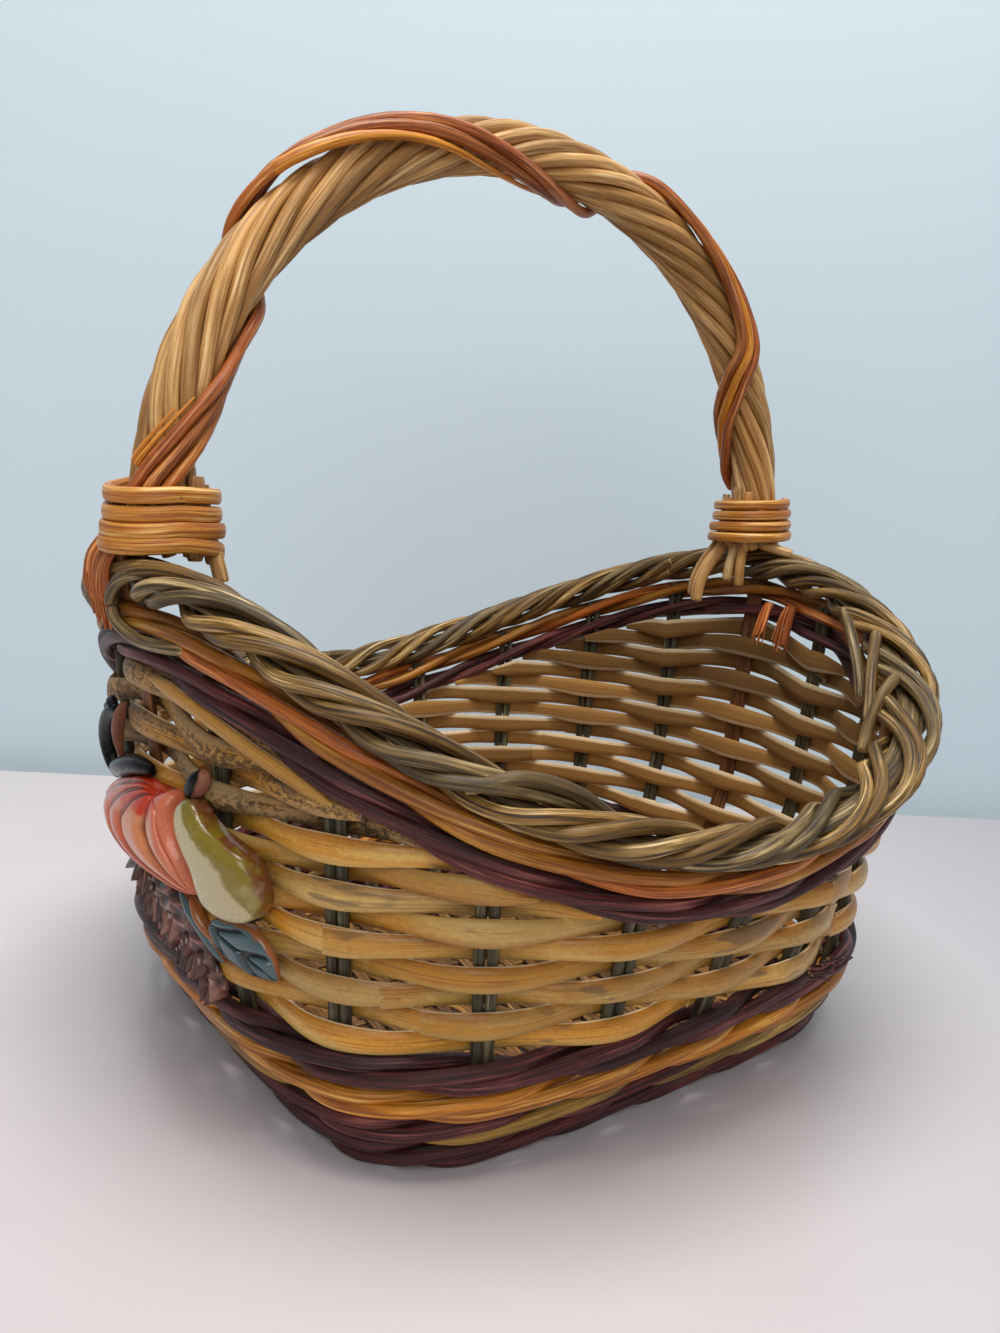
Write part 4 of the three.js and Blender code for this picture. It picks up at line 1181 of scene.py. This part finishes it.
# Rod ends that fill the lashings, stick out above them or splay over the border below: radius,
# then points
FOOT_RODS = (
    (2.6, (-134.5, -9.5, 186), (-134.5, -9.5, 202), (-134.2, -9.8, 213.5)),
    (2.2, (-131.5, 4.0, 186), (-131.5, 4.0, 202), (-131.0, 4.5, 216)),
    (2.5, (-131.5, -7.5, 206), (-130.0, -9.0, 196), (-127.8, -10.5, 187), (-126.0, -11.5, 179)),
    (2.2, (129.5, -1.5, 187), (129.5, -1.5, 202), (129.8, -1.2, 216)),
    (2.1, (131.5, -7.0, 187), (131.5, -7.0, 202), (131.0, -7.2, 214)),
    (2.9, (134.0, 5.0, 200), (130.5, 5.5, 189), (123.5, 7.0, 180), (119.5, 8.5, 171), (118.5, 9.0, 162)),
    (2.7, (134.0, 9.0, 200), (131.5, 9.5, 190), (126.0, 12.0, 181), (122.5, 14.0, 172), (121.5, 14.5, 164)),
    (2.4, (134.0, -1.0, 200), (130.5, -2.0, 189), (126.0, -3.5, 180), (124.0, -4.5, 173)),
    (2.3, (135.0, -5.0, 200), (131.5, -6.0, 189), (127.5, -8.5, 180), (126.5, -9.5, 171)),
    (2.3, (138.0, -9.0, 200), (138.5, -10.5, 191), (142.0, -15.0, 188.5), (147.0, -22.0, 186.5)),
)


def foot_stubs():
    """Short rod ends that fill the lashings round the inner side of each foot."""
    stubs = []
    for end in (-1, 1):
        for turn in STUB_TURNS:
            angle = math.radians(turn + chance.uniform(-6, 6))
            x = end * (bow_half_span - (BOW_FOOT_INSIDE - STUB_ROD - STUB_INSET) * math.cos(angle))
            y = (BOW_FOOT_HALF_Y - STUB_ROD - STUB_INSET) * math.sin(angle)
            heights = np.linspace(bow_foot + 1, lashing_top + chance.uniform(-5, 0.5), STUB_STEPS)
            path = np.stack(np.broadcast_arrays(x, y, heights), -1)
            stubs.append(rod(path, STUB_ROD, 10, upright=ALONG_X))
    return stubs


def make_bow():
    distance = np.linspace(0, bow_length, BOW_STEPS)
    rods = []
    for number in range(BOW_RODS):
        angle = 2 * math.pi * (number / BOW_RODS - distance / BOW_TWIST_PITCH)
        angle += 0.06 * ripple(distance / 40)
        path = ring_rod(angle, distance, BOW_ROD, BOW_RADIUS - BOW_ROD)
        rods.append(rod(path, BOW_ROD, 12, upright=ALONG_Y, knobs=0.02))
    rods.append(rod(beside_bow(distance, 0, 0), BOW_CORE, 10, upright=ALONG_Y, tone=(0.1, 0.5)))
    for radius, *knots in FOOT_RODS:
        path = smooth_path(knots, 8 * len(knots))
        rods.append(rod(path, radius, 12, upright=np.array([0.3, 1.0, 0.1])))
    rods += foot_stubs()
    piece("bow_bundle", rods, bow_paint, ["handle_bow"], "bow_cane")


def winding_rod(first_offset, last_offset, share_from, share_to, taper, kind):
    """A rod beside the line of the windings, from a row of the tables above."""
    knots = [(share * bow_length, math.radians(turn), lift) for share, turn, lift in WINDING_KNOTS]
    spots = smooth_path(knots, WINDING_STEPS)
    reach = BOW_RADIUS + WINDING_GAP + WINDING_ROD + np.maximum(0, spots[:, 2])
    heading = np.gradient(spots, axis=0)
    course = unit(np.stack([heading[:, 0], heading[:, 1] * reach], -1))
    start, stop = WINDING_CROSSING
    crossed = np.clip((spots[:, 0] / bow_length - start) / (stop - start), 0, 1)
    offset = (first_offset + (last_offset - first_offset) * crossed) * WINDING_ROD
    distance = spots[:, 0] - course[:, 1] * offset
    angle = spots[:, 1] + course[:, 0] * offset / reach
    path = beside_bow(distance, reach * np.cos(angle), reach * np.sin(angle))
    first, last = np.searchsorted(spots[:, 0], (share_from * bow_length, share_to * bow_length))
    path = path[first:last]
    return rod(path, WINDING_ROD, 10, upright=path - BOW_CENTRE, taper=taper, knobs=0.07,
               tone=(chance.uniform(0.5, 0.9), kind))


def make_windings():
    """Two rust rods with a gold one beside them. The gold one tapers off at the crown of the
    bow, and another one takes its place. Two thin ends of gold lie beside the near foot."""
    rust = [winding_rod(*shape) for shape in RUST_WINDINGS]
    gold = [winding_rod(*shape) for shape in GOLD_WINDINGS]
    piece("winding_rust", rust, winding_paint, ["handle_winding_rust"], "rust_rod")
    piece("winding_gold", gold, gold_paint, ["handle_winding_gold"], "gold_rod")


# Lashings

# Each lashing: its end, turns, start in degrees, how uneven its turns are, how much it narrows
# upwards, how far its lowest turns bulge, how far the outer side of its turns sags, the gap
# under its top turn and half sizes of its cane
LASHINGS = {
    "near": {"end": -1, "turns": 3.76, "start": -199, "uneven": 0.5, "narrowing": 0.1, "bulge": 0.8,
             "sag": 2.2, "top_gap": 1.5, "half_up": 2.7, "half_out": 1.7},
    "far": {"end": 1, "turns": 4.0, "start": -30, "uneven": 0.25, "narrowing": 0.14, "bulge": 0.1,
            "sag": 0.0, "top_gap": 0.2, "half_up": 2.2, "half_out": 2.0},
}
# The bottom turn's end dips to the border, over this share of a turn and by this much
DIP_TURN = 0.3
DIP = 5.0
LASHING_STEPS_PER_TURN = 56


def lashing_path(end, turns, start, uneven, narrowing, bulge, sag, top_gap, half_up, half_out):
    leg_outer = float(wall_point(0, bow_foot, LEG_STEP + LEG_DEPTH / 2)[0])
    inner = bow_half_span - BOW_FOOT_INSIDE - TOUCH_GAP
    outer = leg_outer + TOUCH_GAP
    course = np.linspace(0, turns, round(turns * LASHING_STEPS_PER_TURN))
    shrink = 1 - narrowing * course / turns
    half_x = ((outer - inner) / 2 + CANE_SLACK + half_out) * shrink
    half_y = (BOW_FOOT_HALF_Y + CANE_SLACK + half_out) * shrink
    angle = course * 2 * math.pi + math.radians(start)
    outside = np.maximum(0, np.cos(angle))
    height = bow_foot + half_up + CANE_PITCH * course + uneven * ripple(course * 1.1)
    height += top_gap * np.clip(course - turns + 1.2, 0, 1) - sag * outside
    height -= DIP * np.clip(1 - course / DIP_TURN, 0, 1) ** 1.5
    swell = uneven * (0.6 + ripple(course * 1.7))
    swell_out = swell + bulge * outside * np.clip(2.2 - course, 0, 1)
    x = end * (outer + inner) / 2 + (half_x + swell_out) * np.cos(angle) * end
    return np.stack([x, (half_y + swell) * np.sin(angle), height], -1)


FIBRE_UPRIGHT = np.array([0.5, 1.0, 0.2])
TUFT_FIBRES = 95
TAIL_FIBRES = 24


def near_tuft():
    """Frayed rod ends that bend out from under the near lashing and hang over the border."""
    fibres = []
    for number in range(TUFT_FIBRES):
        place = TUFT_PLACE + chance.uniform(-0.36, 0.28)
        deep = chance.uniform(0, 1)
        fall = chance.uniform(161, 172)
        sweep = chance.uniform(-0.13, 0.04)
        knots = [(place + 0.04, 191, 2.0 + 3.2 * deep), (place, 185, 6.0 + 3.2 * deep),
                 (place + sweep * 0.6, 176, 7.2 + 3.2 * deep + chance.uniform(-0.5, 0.5)),
                 (place + sweep + chance.uniform(-0.05, 0.09), fall, 6.0 + 3.4 * deep)]
        fibres.append(rod(wall_curve(knots, 12), chance.uniform(0.4, 1.0), 6, upright=FIBRE_UPRIGHT,
                          taper=(1.0, 0.45), tone=chance.uniform(0, 1, 2)))
    return fibres


# Frayed ends that hang inside the wall below the far lashing: middle, half width and foot
FAR_TAILS = ((-18.0, 3.0, 144.0), (-31.0, 3.2, 142.0))


def far_tuft():
    """Frayed ends of the far lashing, inside the wall below the border."""
    fibres = []
    for centre, half, foot in FAR_TAILS:
        for number in range(TAIL_FIBRES):
            across = chance.uniform(-half, half)
            deep = chance.uniform(0, 4)
            knots = [(141.5 - deep, centre + across * 0.7, 163.5), (138.5 - deep, centre + across, 158),
                     (135.0 - deep, centre + across * 1.3, foot + chance.uniform(0, 7))]
            fibres.append(rod(smooth_path(knots, 12), chance.uniform(0.4, 0.8), 5,
                              upright=FIBRE_UPRIGHT, taper=(1.0, 0.5)))
    return fibres


def make_lashings():
    for name, shape in LASHINGS.items():
        path = lashing_path(**shape)
        profile = flat_cane(shape["half_up"], shape["half_out"], 14)
        cane = swept(path, profile, size=1 + 0.05 * ripple(np.arange(len(path)) / 20), tone=(0.8, 0.3))
        piece(f"lashing_cane_{name}", [cane], cane_paint, [f"lashing_{name}"], "lashing_cane")
    piece("lashing_tail_near", near_tuft(), tuft_paint, ["lashing_near"], "rust_rod")
    piece("lashing_tail_far", far_tuft(), tuft_paint, ["lashing_far"], "rust_rod")


# Ornament on the -X end

# Thickness at the edges of domed shapes
DOME_EDGE = 0.6
ornament_back = strip_swing + CAD_STRIP_THICKNESS / 2 + TOUCH_GAP


def raised(left, right, relief, spine=None, groove=None, wide=33):
    """A raised shape on the wall between two edges that share their ends. Relief is its
    thickness and groove where its hollows are, both from the share across, -1 to 1, and down,
    0 to 1. Its grain holds those two shares and the hollows."""
    steps = len(left)
    spine = (left + right) / 2 if spine is None else spine
    across, down = np.meshgrid(np.linspace(-1, 1, wide), np.linspace(0, 1, steps))
    edge = np.where(across[..., None] < 0, left[:, None], right[:, None])
    spots = spine[:, None] + np.abs(across)[..., None] * (edge - spine[:, None])
    hollow = np.zeros_like(across) if groove is None else groove(across, down)
    lift = relief(across, down)
    under = spots[:, [-2, 1]]
    spots = np.concatenate([spots, under], axis=1)[1:-1]
    lift = np.concatenate([lift, np.zeros((steps, 2))], axis=1)[1:-1]
    grain = np.stack([across, down, hollow], -1)
    grain = np.concatenate([grain, grain[:, [-1, 0]]], axis=1)[1:-1]
    rings = wall_point(NEAR_END + spots[..., 0] / stake_spacing, spots[..., 1], ornament_back + lift)
    count, sides = rings.shape[:2]
    faces, flat = tube_faces(count, sides, 0, (count - 1) * sides)
    return rings.reshape(-1, 3), faces, flat, grain.reshape(-1, 3), np.zeros((count * sides, 3))


def all_over(shape, axis, value):
    """A raised shape with one value of its grain all over, which gives it one colour."""
    shape[3][:, "XYZ".index(axis)] = value
    return shape


def edges(left, right, steps=64):
    return smooth_path(left, steps), smooth_path(right, steps)


def band(knots, half_width, steps=40, fullness=0.35):
    """The two edges of a band along a middle line. It comes to a point at both ends."""
    middle = smooth_path(knots, steps)
    heading = unit(np.gradient(middle, axis=0))
    side = np.stack([-heading[:, 1], heading[:, 0]], -1)
    width = half_width * np.sin(np.linspace(0, math.pi, steps)) ** fullness
    return middle - side * width[:, None], middle + side * width[:, None]


def dome(thickness, roundness=2.0):
    """Relief of a cushion. A higher roundness gives a flatter face and steeper sides."""
    def relief(across, down):
        crown = (1 - np.abs(across) ** roundness) ** (1 / roundness)
        ends = np.clip(np.sin(math.pi * down), 0, 1) ** (1 / roundness)
        return DOME_EDGE + (thickness - DOME_EDGE) * crown * ends
    return relief


def grooves(spots, width):
    """Hollows that run down a shape at the given shares across it."""
    def hollow(across, down):
        return sum(np.exp(-((across - spot) / width) ** 2) for spot in spots)
    return hollow


def grooved(relief, hollow, depth):
    return lambda across, down: relief(across, down) * (1 - depth * np.minimum(1, hollow(across, down)))


# Outlines of the ornament, from the top to the foot of each piece, in millimetres along the wall
# from the middle of the handle leg and in height
PUMPKIN_LEFT = ((20, 112), (10, 115), (-7, 111), (-21, 106), (-38, 97), (-41, 91), (-36, 86),
                (-21, 83), (-5, 82.5), (15, 83), (28, 83), (38, 83.5), (43, 85))
PUMPKIN_RIGHT = ((20, 112), (28, 116), (33, 115.5), (34, 110), (36, 104), (40, 97), (42.5, 89), (43, 85))
PUMPKIN_GROOVES = (-0.84, -0.62, -0.4, -0.1, 0.5)
PEAR_LEFT = ((40, 117), (36, 112), (36, 106), (39.5, 100), (43.5, 94.5), (45.5, 88), (48, 83.5),
             (55, 81.5), (63, 82.5), (68, 85.5))
PEAR_RIGHT = ((40, 117), (45, 116.5), (49, 113), (54, 110), (60, 107.8), (66, 105.5), (69.5, 101),
              (71.5, 96.5), (72, 91.5), (68, 85.5))
STEM_LEFT = ((45, 127), (40.5, 124.5), (37.5, 120), (36.5, 117), (38.5, 115))
STEM_RIGHT = ((45, 127), (47.5, 125), (47, 121.5), (43.5, 117.5), (38.5, 115))
LEAF_LEFT = ((46, 77.5), (44, 72.5), (46, 68), (51, 65), (58, 63.5), (65, 63.3), (72.5, 64.5))
LEAF_RIGHT = ((46, 77.5), (51, 79.6), (59, 80.6), (65, 79.8), (69, 77), (72, 72), (72.5, 64.5))
THIN_LEAF = ((25, 81), (29, 78.5), (34, 73.5), (40, 68), (44, 64), (47, 61))
THIN_LEAF_RED = ((33, 81), (37, 77), (41, 72), (45, 67.5))
CONE_LEFT = ((-6, 80.5), (-4, 75), (-2, 70), (1, 65), (6, 60), (13, 55), (23, 52), (34, 50.5), (46, 50))
CONE_RIGHT = ((-6, 80.5), (10, 81), (22, 80), (30, 75.5), (36, 68.5), (40, 61), (43.5, 55.5), (46, 50))
# The cone's free scales at its left: root and tip
CONE_TIPS = (((-8, 84), (-21, 72)), ((-5, 82), (-17, 69)), ((-3, 79), (-13, 67)),
             ((0, 77), (-9, 64.5)), ((3, 73), (-3, 61)), ((7, 68), (3, 57)))
VINE = ((-15, 133), (-24, 129.5), (-32, 123), (-37, 115.5), (-35.5, 108), (-31, 103))
VINE_LUMP = ((-30, 106.5), (-22, 109.5), (-10, 113.5), (2, 117), (15, 118.5))
VINE_RIDGE = ((-7, 137), (-12, 131), (-18, 123), (-20, 113))
VINE_LEAVES = (((-16, 131), (-27, 134.5)), ((-20, 130), (-34, 130.5)), ((-24, 128), (-39, 124)))


def make_pumpkin():
    left, right = edges(PUMPKIN_LEFT, PUMPKIN_RIGHT)
    spine = np.linspace(left[0], left[-1], len(left))
    hollow = grooves(PUMPKIN_GROOVES, 0.045)
    paint = glaze_paint("pumpkin_glaze", (208, 106, 74), (
        ("X", -0.5, -0.2, (216, 136, 86)),
        ("X", 0.0, 0.25, (208, 112, 80)),
        ("Y", 0.3, 0.1, (196, 56, 26)),
        ("Y", 0.4, 0.9, (210, 122, 92)),
        # Painted shade: darker red-brown in the grooves between the ribs
        ("Z", 0.35, 0.9, (118, 38, 22))), 0.16, 0.4)
    shape = raised(left, right, grooved(dome(11.5, 2.4), hollow, 0.3), spine, hollow, 97)
    piece("pumpkin", [shape], paint, ["ornament_pumpkin"], "pumpkin_glaze")


def make_pear():
    left, right = edges(PEAR_LEFT, PEAR_RIGHT)
    paint = glaze_paint("pear_glaze", (192, 178, 132), (
        ("X", 0.25, 0.42, (132, 112, 22)),
        ("Y", 0.16, 0.06, (118, 106, 36)),
        ("X", 0.84, 1.0, (112, 56, 26))), 0.12)
    piece("pear", [raised(left, right, dome(10, 3.2))], paint, ["ornament_pear"], "pear_glaze")
    stem = glaze_paint("stem_glaze", (12, 14, 14), (("X", 0.5, 0.8, (150, 98, 78)),), 0.14, 0.0, 0.15)
    piece("pear_stem", [raised(*edges(STEM_LEFT, STEM_RIGHT, 32), dome(5.0))], stem,
          ["ornament_pear_stem"], "stem_glaze")


def make_leaves():
    def veins(across, down):
        ribs = np.abs(np.sin((down * 2.6 - np.abs(across) * 0.8) * math.pi)) ** 14
        return np.minimum(1, np.exp(-(across / 0.06) ** 2) + ribs * (np.abs(across) < 0.8))
    paint = glaze_paint("leaf_glaze", (44, 72, 80), (
        ("X", -0.2, 0.4, (70, 96, 100)),
        ("X", 0.82, 0.96, (158, 92, 44)),
        ("Z", 0.3, 0.8, (12, 16, 20))), 0.12)
    leaf = raised(*edges(LEAF_LEFT, LEAF_RIGHT), grooved(dome(4.4, 2.6), veins, 0.45), None, veins, 61)
    thin = raised(*band(THIN_LEAF, 2.6, fullness=0.7), dome(3.4))
    red = all_over(raised(*band(THIN_LEAF_RED, 1.8, fullness=0.6), dome(3.8)), "X", 1.0)
    piece("leaf", [leaf, thin, red], paint, ["ornament_leaf"], "leaf_glaze")


# Free scales on the face of the cone
CONE_SCALES = 46


def make_cone():
    def scales(across, down):
        """Hollows between scales that overlap like roof tiles."""
        row = down * 9
        shift = np.floor(row) % 2 / 2
        side = np.abs((across * 2 + shift) % 1 - 0.5) * 2
        return np.clip(1.6 * np.abs(row % 1 - 0.35 * (1 - side ** 2) - 0.3) - 0.1, 0, 1)

    def scale_relief(root_lift, tip_lift):
        """A scale that stands away from the cone towards its tip."""
        def relief(across, down):
            return (root_lift + (tip_lift - root_lift) * down) * (1 - 0.45 * across ** 2)
        return relief

    paint = glaze_paint("cone_paint", (92, 56, 48), (
        # Dark in the hollows between the scales, as painted shade, and on the dark tips of the free scales
        ("Z", 0.2, 0.75, (34, 18, 18)),
        # Pale on the raised rims of the scales: painted highlights
        ("Z", 0.16, 0.0, (150, 104, 90))), 0.3)
    parts = [
        raised(*edges(CONE_LEFT, CONE_RIGHT), grooved(dome(5.4, 2.4), scales, 0.4), None, scales, 73)]
    for tip in CONE_TIPS:
        parts.append(all_over(raised(*band(tip, 2.2, 20, 0.9), scale_relief(1.5, 5.0)), "Z", 0.7))
    for number in range(CONE_SCALES):
        share = chance.uniform(0, 1)
        along = -2 + 42 * share
        height = 82 - 29 * share + chance.uniform(-5, 6)
        lean = chance.uniform(-1.5, 1.5)
        middle = ((along, height), (along + 1.6 + lean, height - 4.2), (along + 2.2 + 2 * lean, height - 9))
        outline = band(middle, chance.uniform(1.2, 1.9), 16, 0.8)
        scale = raised(*outline, scale_relief(4.0, chance.uniform(7, 9)))
        parts.append(all_over(scale, "Z", chance.uniform(0, 0.6)))
    piece("cone", parts, paint, ["ornament_cone"], "cone_paint")


def make_vine():
    paint = glaze_paint("vine_glaze", (14, 14, 14), (
        ("X", 0.1, -0.5, (10, 14, 22)),
        ("Z", 0.4, 0.6, (128, 80, 60))), 0.14, 0.0, 0.15)
    parts = [raised(*band(VINE, 3.4), dome(5.6)), raised(*band(VINE_LUMP, 4.0), dome(6.0))]
    parts += [raised(*band(leaf, 2.2, 20, 0.6), dome(3.6)) for leaf in VINE_LEAVES]
    parts.append(all_over(raised(*band(VINE_RIDGE, 1.7), dome(4.0)), "Z", 1.0))
    piece("vine", parts, paint, ["ornament_vine"], "stem_glaze")


# Stage: table, backdrop, lights and camera, in metres and degrees. The camera's lens and sensor are
# in millimetres.

CAMERA_SPOT = (-0.26980, -0.36527, 0.22418)
CAMERA_YAW = 53.716
CAMERA_PITCH = 10.537
CAMERA_ROLL = 2.828
CAMERA_LENS = 30.307
SENSOR_HEIGHT = 36.0
TABLE_BEYOND = 0.276
TABLE_NEAR = 2.0
TABLE_HALF_WIDTH = 2.0
BACKDROP_BEYOND = TABLE_BEYOND + 0.02
BACKDROP_HALF_WIDTH = 2.5
BACKDROP_LOW = 0.6
BACKDROP_HIGH = 2.2
LIGHT_AIM = np.array([0.0, 0.0, 0.1])


def heading_vector():
    yaw = math.radians(CAMERA_YAW)
    return np.array([math.cos(yaw), math.sin(yaw), 0.0])


def put_in_place(name, data, side, top, back, spot):
    """A camera or light at a spot. Back is the direction away from what it sees or lights."""
    made = bpy.data.objects.new(name, data)
    columns = np.column_stack([side, top, back, spot])
    made.matrix_world = Matrix([*columns.tolist(), (0, 0, 0, 1)])
    bpy.context.scene.collection.objects.link(made)
    return made


def make_camera():
    pitch, roll = math.radians(CAMERA_PITCH), math.radians(CAMERA_ROLL)
    ahead = heading_vector() * math.cos(pitch) - UP * math.sin(pitch)
    right = np.cross(heading_vector(), UP)
    top = np.cross(right, ahead)
    rolled_right = right * math.cos(roll) + top * math.sin(roll)
    rolled_top = -right * math.sin(roll) + top * math.cos(roll)
    data = bpy.data.cameras.new("photo_camera")
    data.sensor_fit = "VERTICAL"
    data.sensor_height = SENSOR_HEIGHT
    data.lens = CAMERA_LENS
    data.clip_start = 0.01
    camera = put_in_place("photo_camera", data, rolled_right, rolled_top, -ahead, CAMERA_SPOT)
    bpy.context.scene.camera = camera


def quad(name, corners, material):
    mesh = bpy.data.meshes.new(name)
    mesh.from_pydata([tuple(corner) for corner in corners], [], [(0, 1, 2, 3)])
    mesh.materials.append(material)
    made = bpy.data.objects.new(name, mesh)
    bpy.context.scene.collection.objects.link(made)


def table_paint():
    """A pale table, with painted shade that turns it grey towards its right side."""
    paint = Paint("table_top")
    spot = paint.spot()
    cloud = paint.noise(spot, 3.0)
    tint = paint.mix(paint.ranged(cloud, 0.3, 0.7), colour(212, 205, 208), colour(218, 212, 215))
    right = np.cross(heading_vector(), UP)
    to_right = paint.added("VectorMath", {0: spot, 1: right}, operation="DOT_PRODUCT").outputs["Value"]
    # Painted shade: the table turns grey towards its right side
    tint = paint.over(tint, (180, 178, 185), to_right, 0.0, 0.36, 0, 0.85)
    return paint.finish(tint, 0.42)


def backdrop_paint():
    paint = Paint("backdrop")
    cloud = paint.noise(paint.spot(), 1.2, 2)
    tint = paint.mix(paint.ranged(cloud, 0.3, 0.7), colour(208, 226, 237), colour(213, 230, 240))
    return paint.finish(tint, 0.7)


def make_stage():
    ahead = heading_vector()
    right = np.cross(ahead, UP)
    edge, side, near = ahead * TABLE_BEYOND, right * TABLE_HALF_WIDTH, ahead * TABLE_NEAR
    quad("table", (-side - near, side - near, edge + side, edge - side), table_paint())
    back, side = ahead * BACKDROP_BEYOND, right * BACKDROP_HALF_WIDTH
    low, high = back - UP * BACKDROP_LOW, back + UP * BACKDROP_HIGH
    quad("backdrop", (low - side, low + side, high + side, high - side), backdrop_paint())


def area_light(name, spot, size, power, tint):
    """A square light that shines on the middle of the basket."""
    data = bpy.data.lights.new(name, "AREA")
    data.size = size
    data.energy = power
    data.color = tint
    away = unit(np.array(spot) - LIGHT_AIM)
    side = unit(np.cross(UP, away))
    put_in_place(name, data, side, np.cross(away, side), away, spot)


def make_lights():
    area_light("overhead", (-0.1, -0.25, 1.5), 0.8, 18.0, (1.0, 0.965, 0.91))
    area_light("window", (-0.75, -1.1, 0.95), 0.7, 5.0, (1.0, 0.98, 0.95))
    world = bpy.data.worlds.new("room")
    world.use_nodes = True
    background = world.node_tree.nodes["Background"]
    background.inputs["Color"].default_value = (0.9, 0.92, 0.94, 1)
    background.inputs["Strength"].default_value = 0.35
    bpy.context.scene.world = world


make_camera()
make_stakes()
make_legs()
make_wales()
make_frays()
make_border()
make_full_rows()
make_packing()
make_floor()
make_bow()
make_windings()
make_lashings()
make_pumpkin()
make_pear()
make_leaves()
make_cone()
make_vine()
make_stage()
make_lights()
bpy.context.scene.view_settings.view_transform = "Standard"
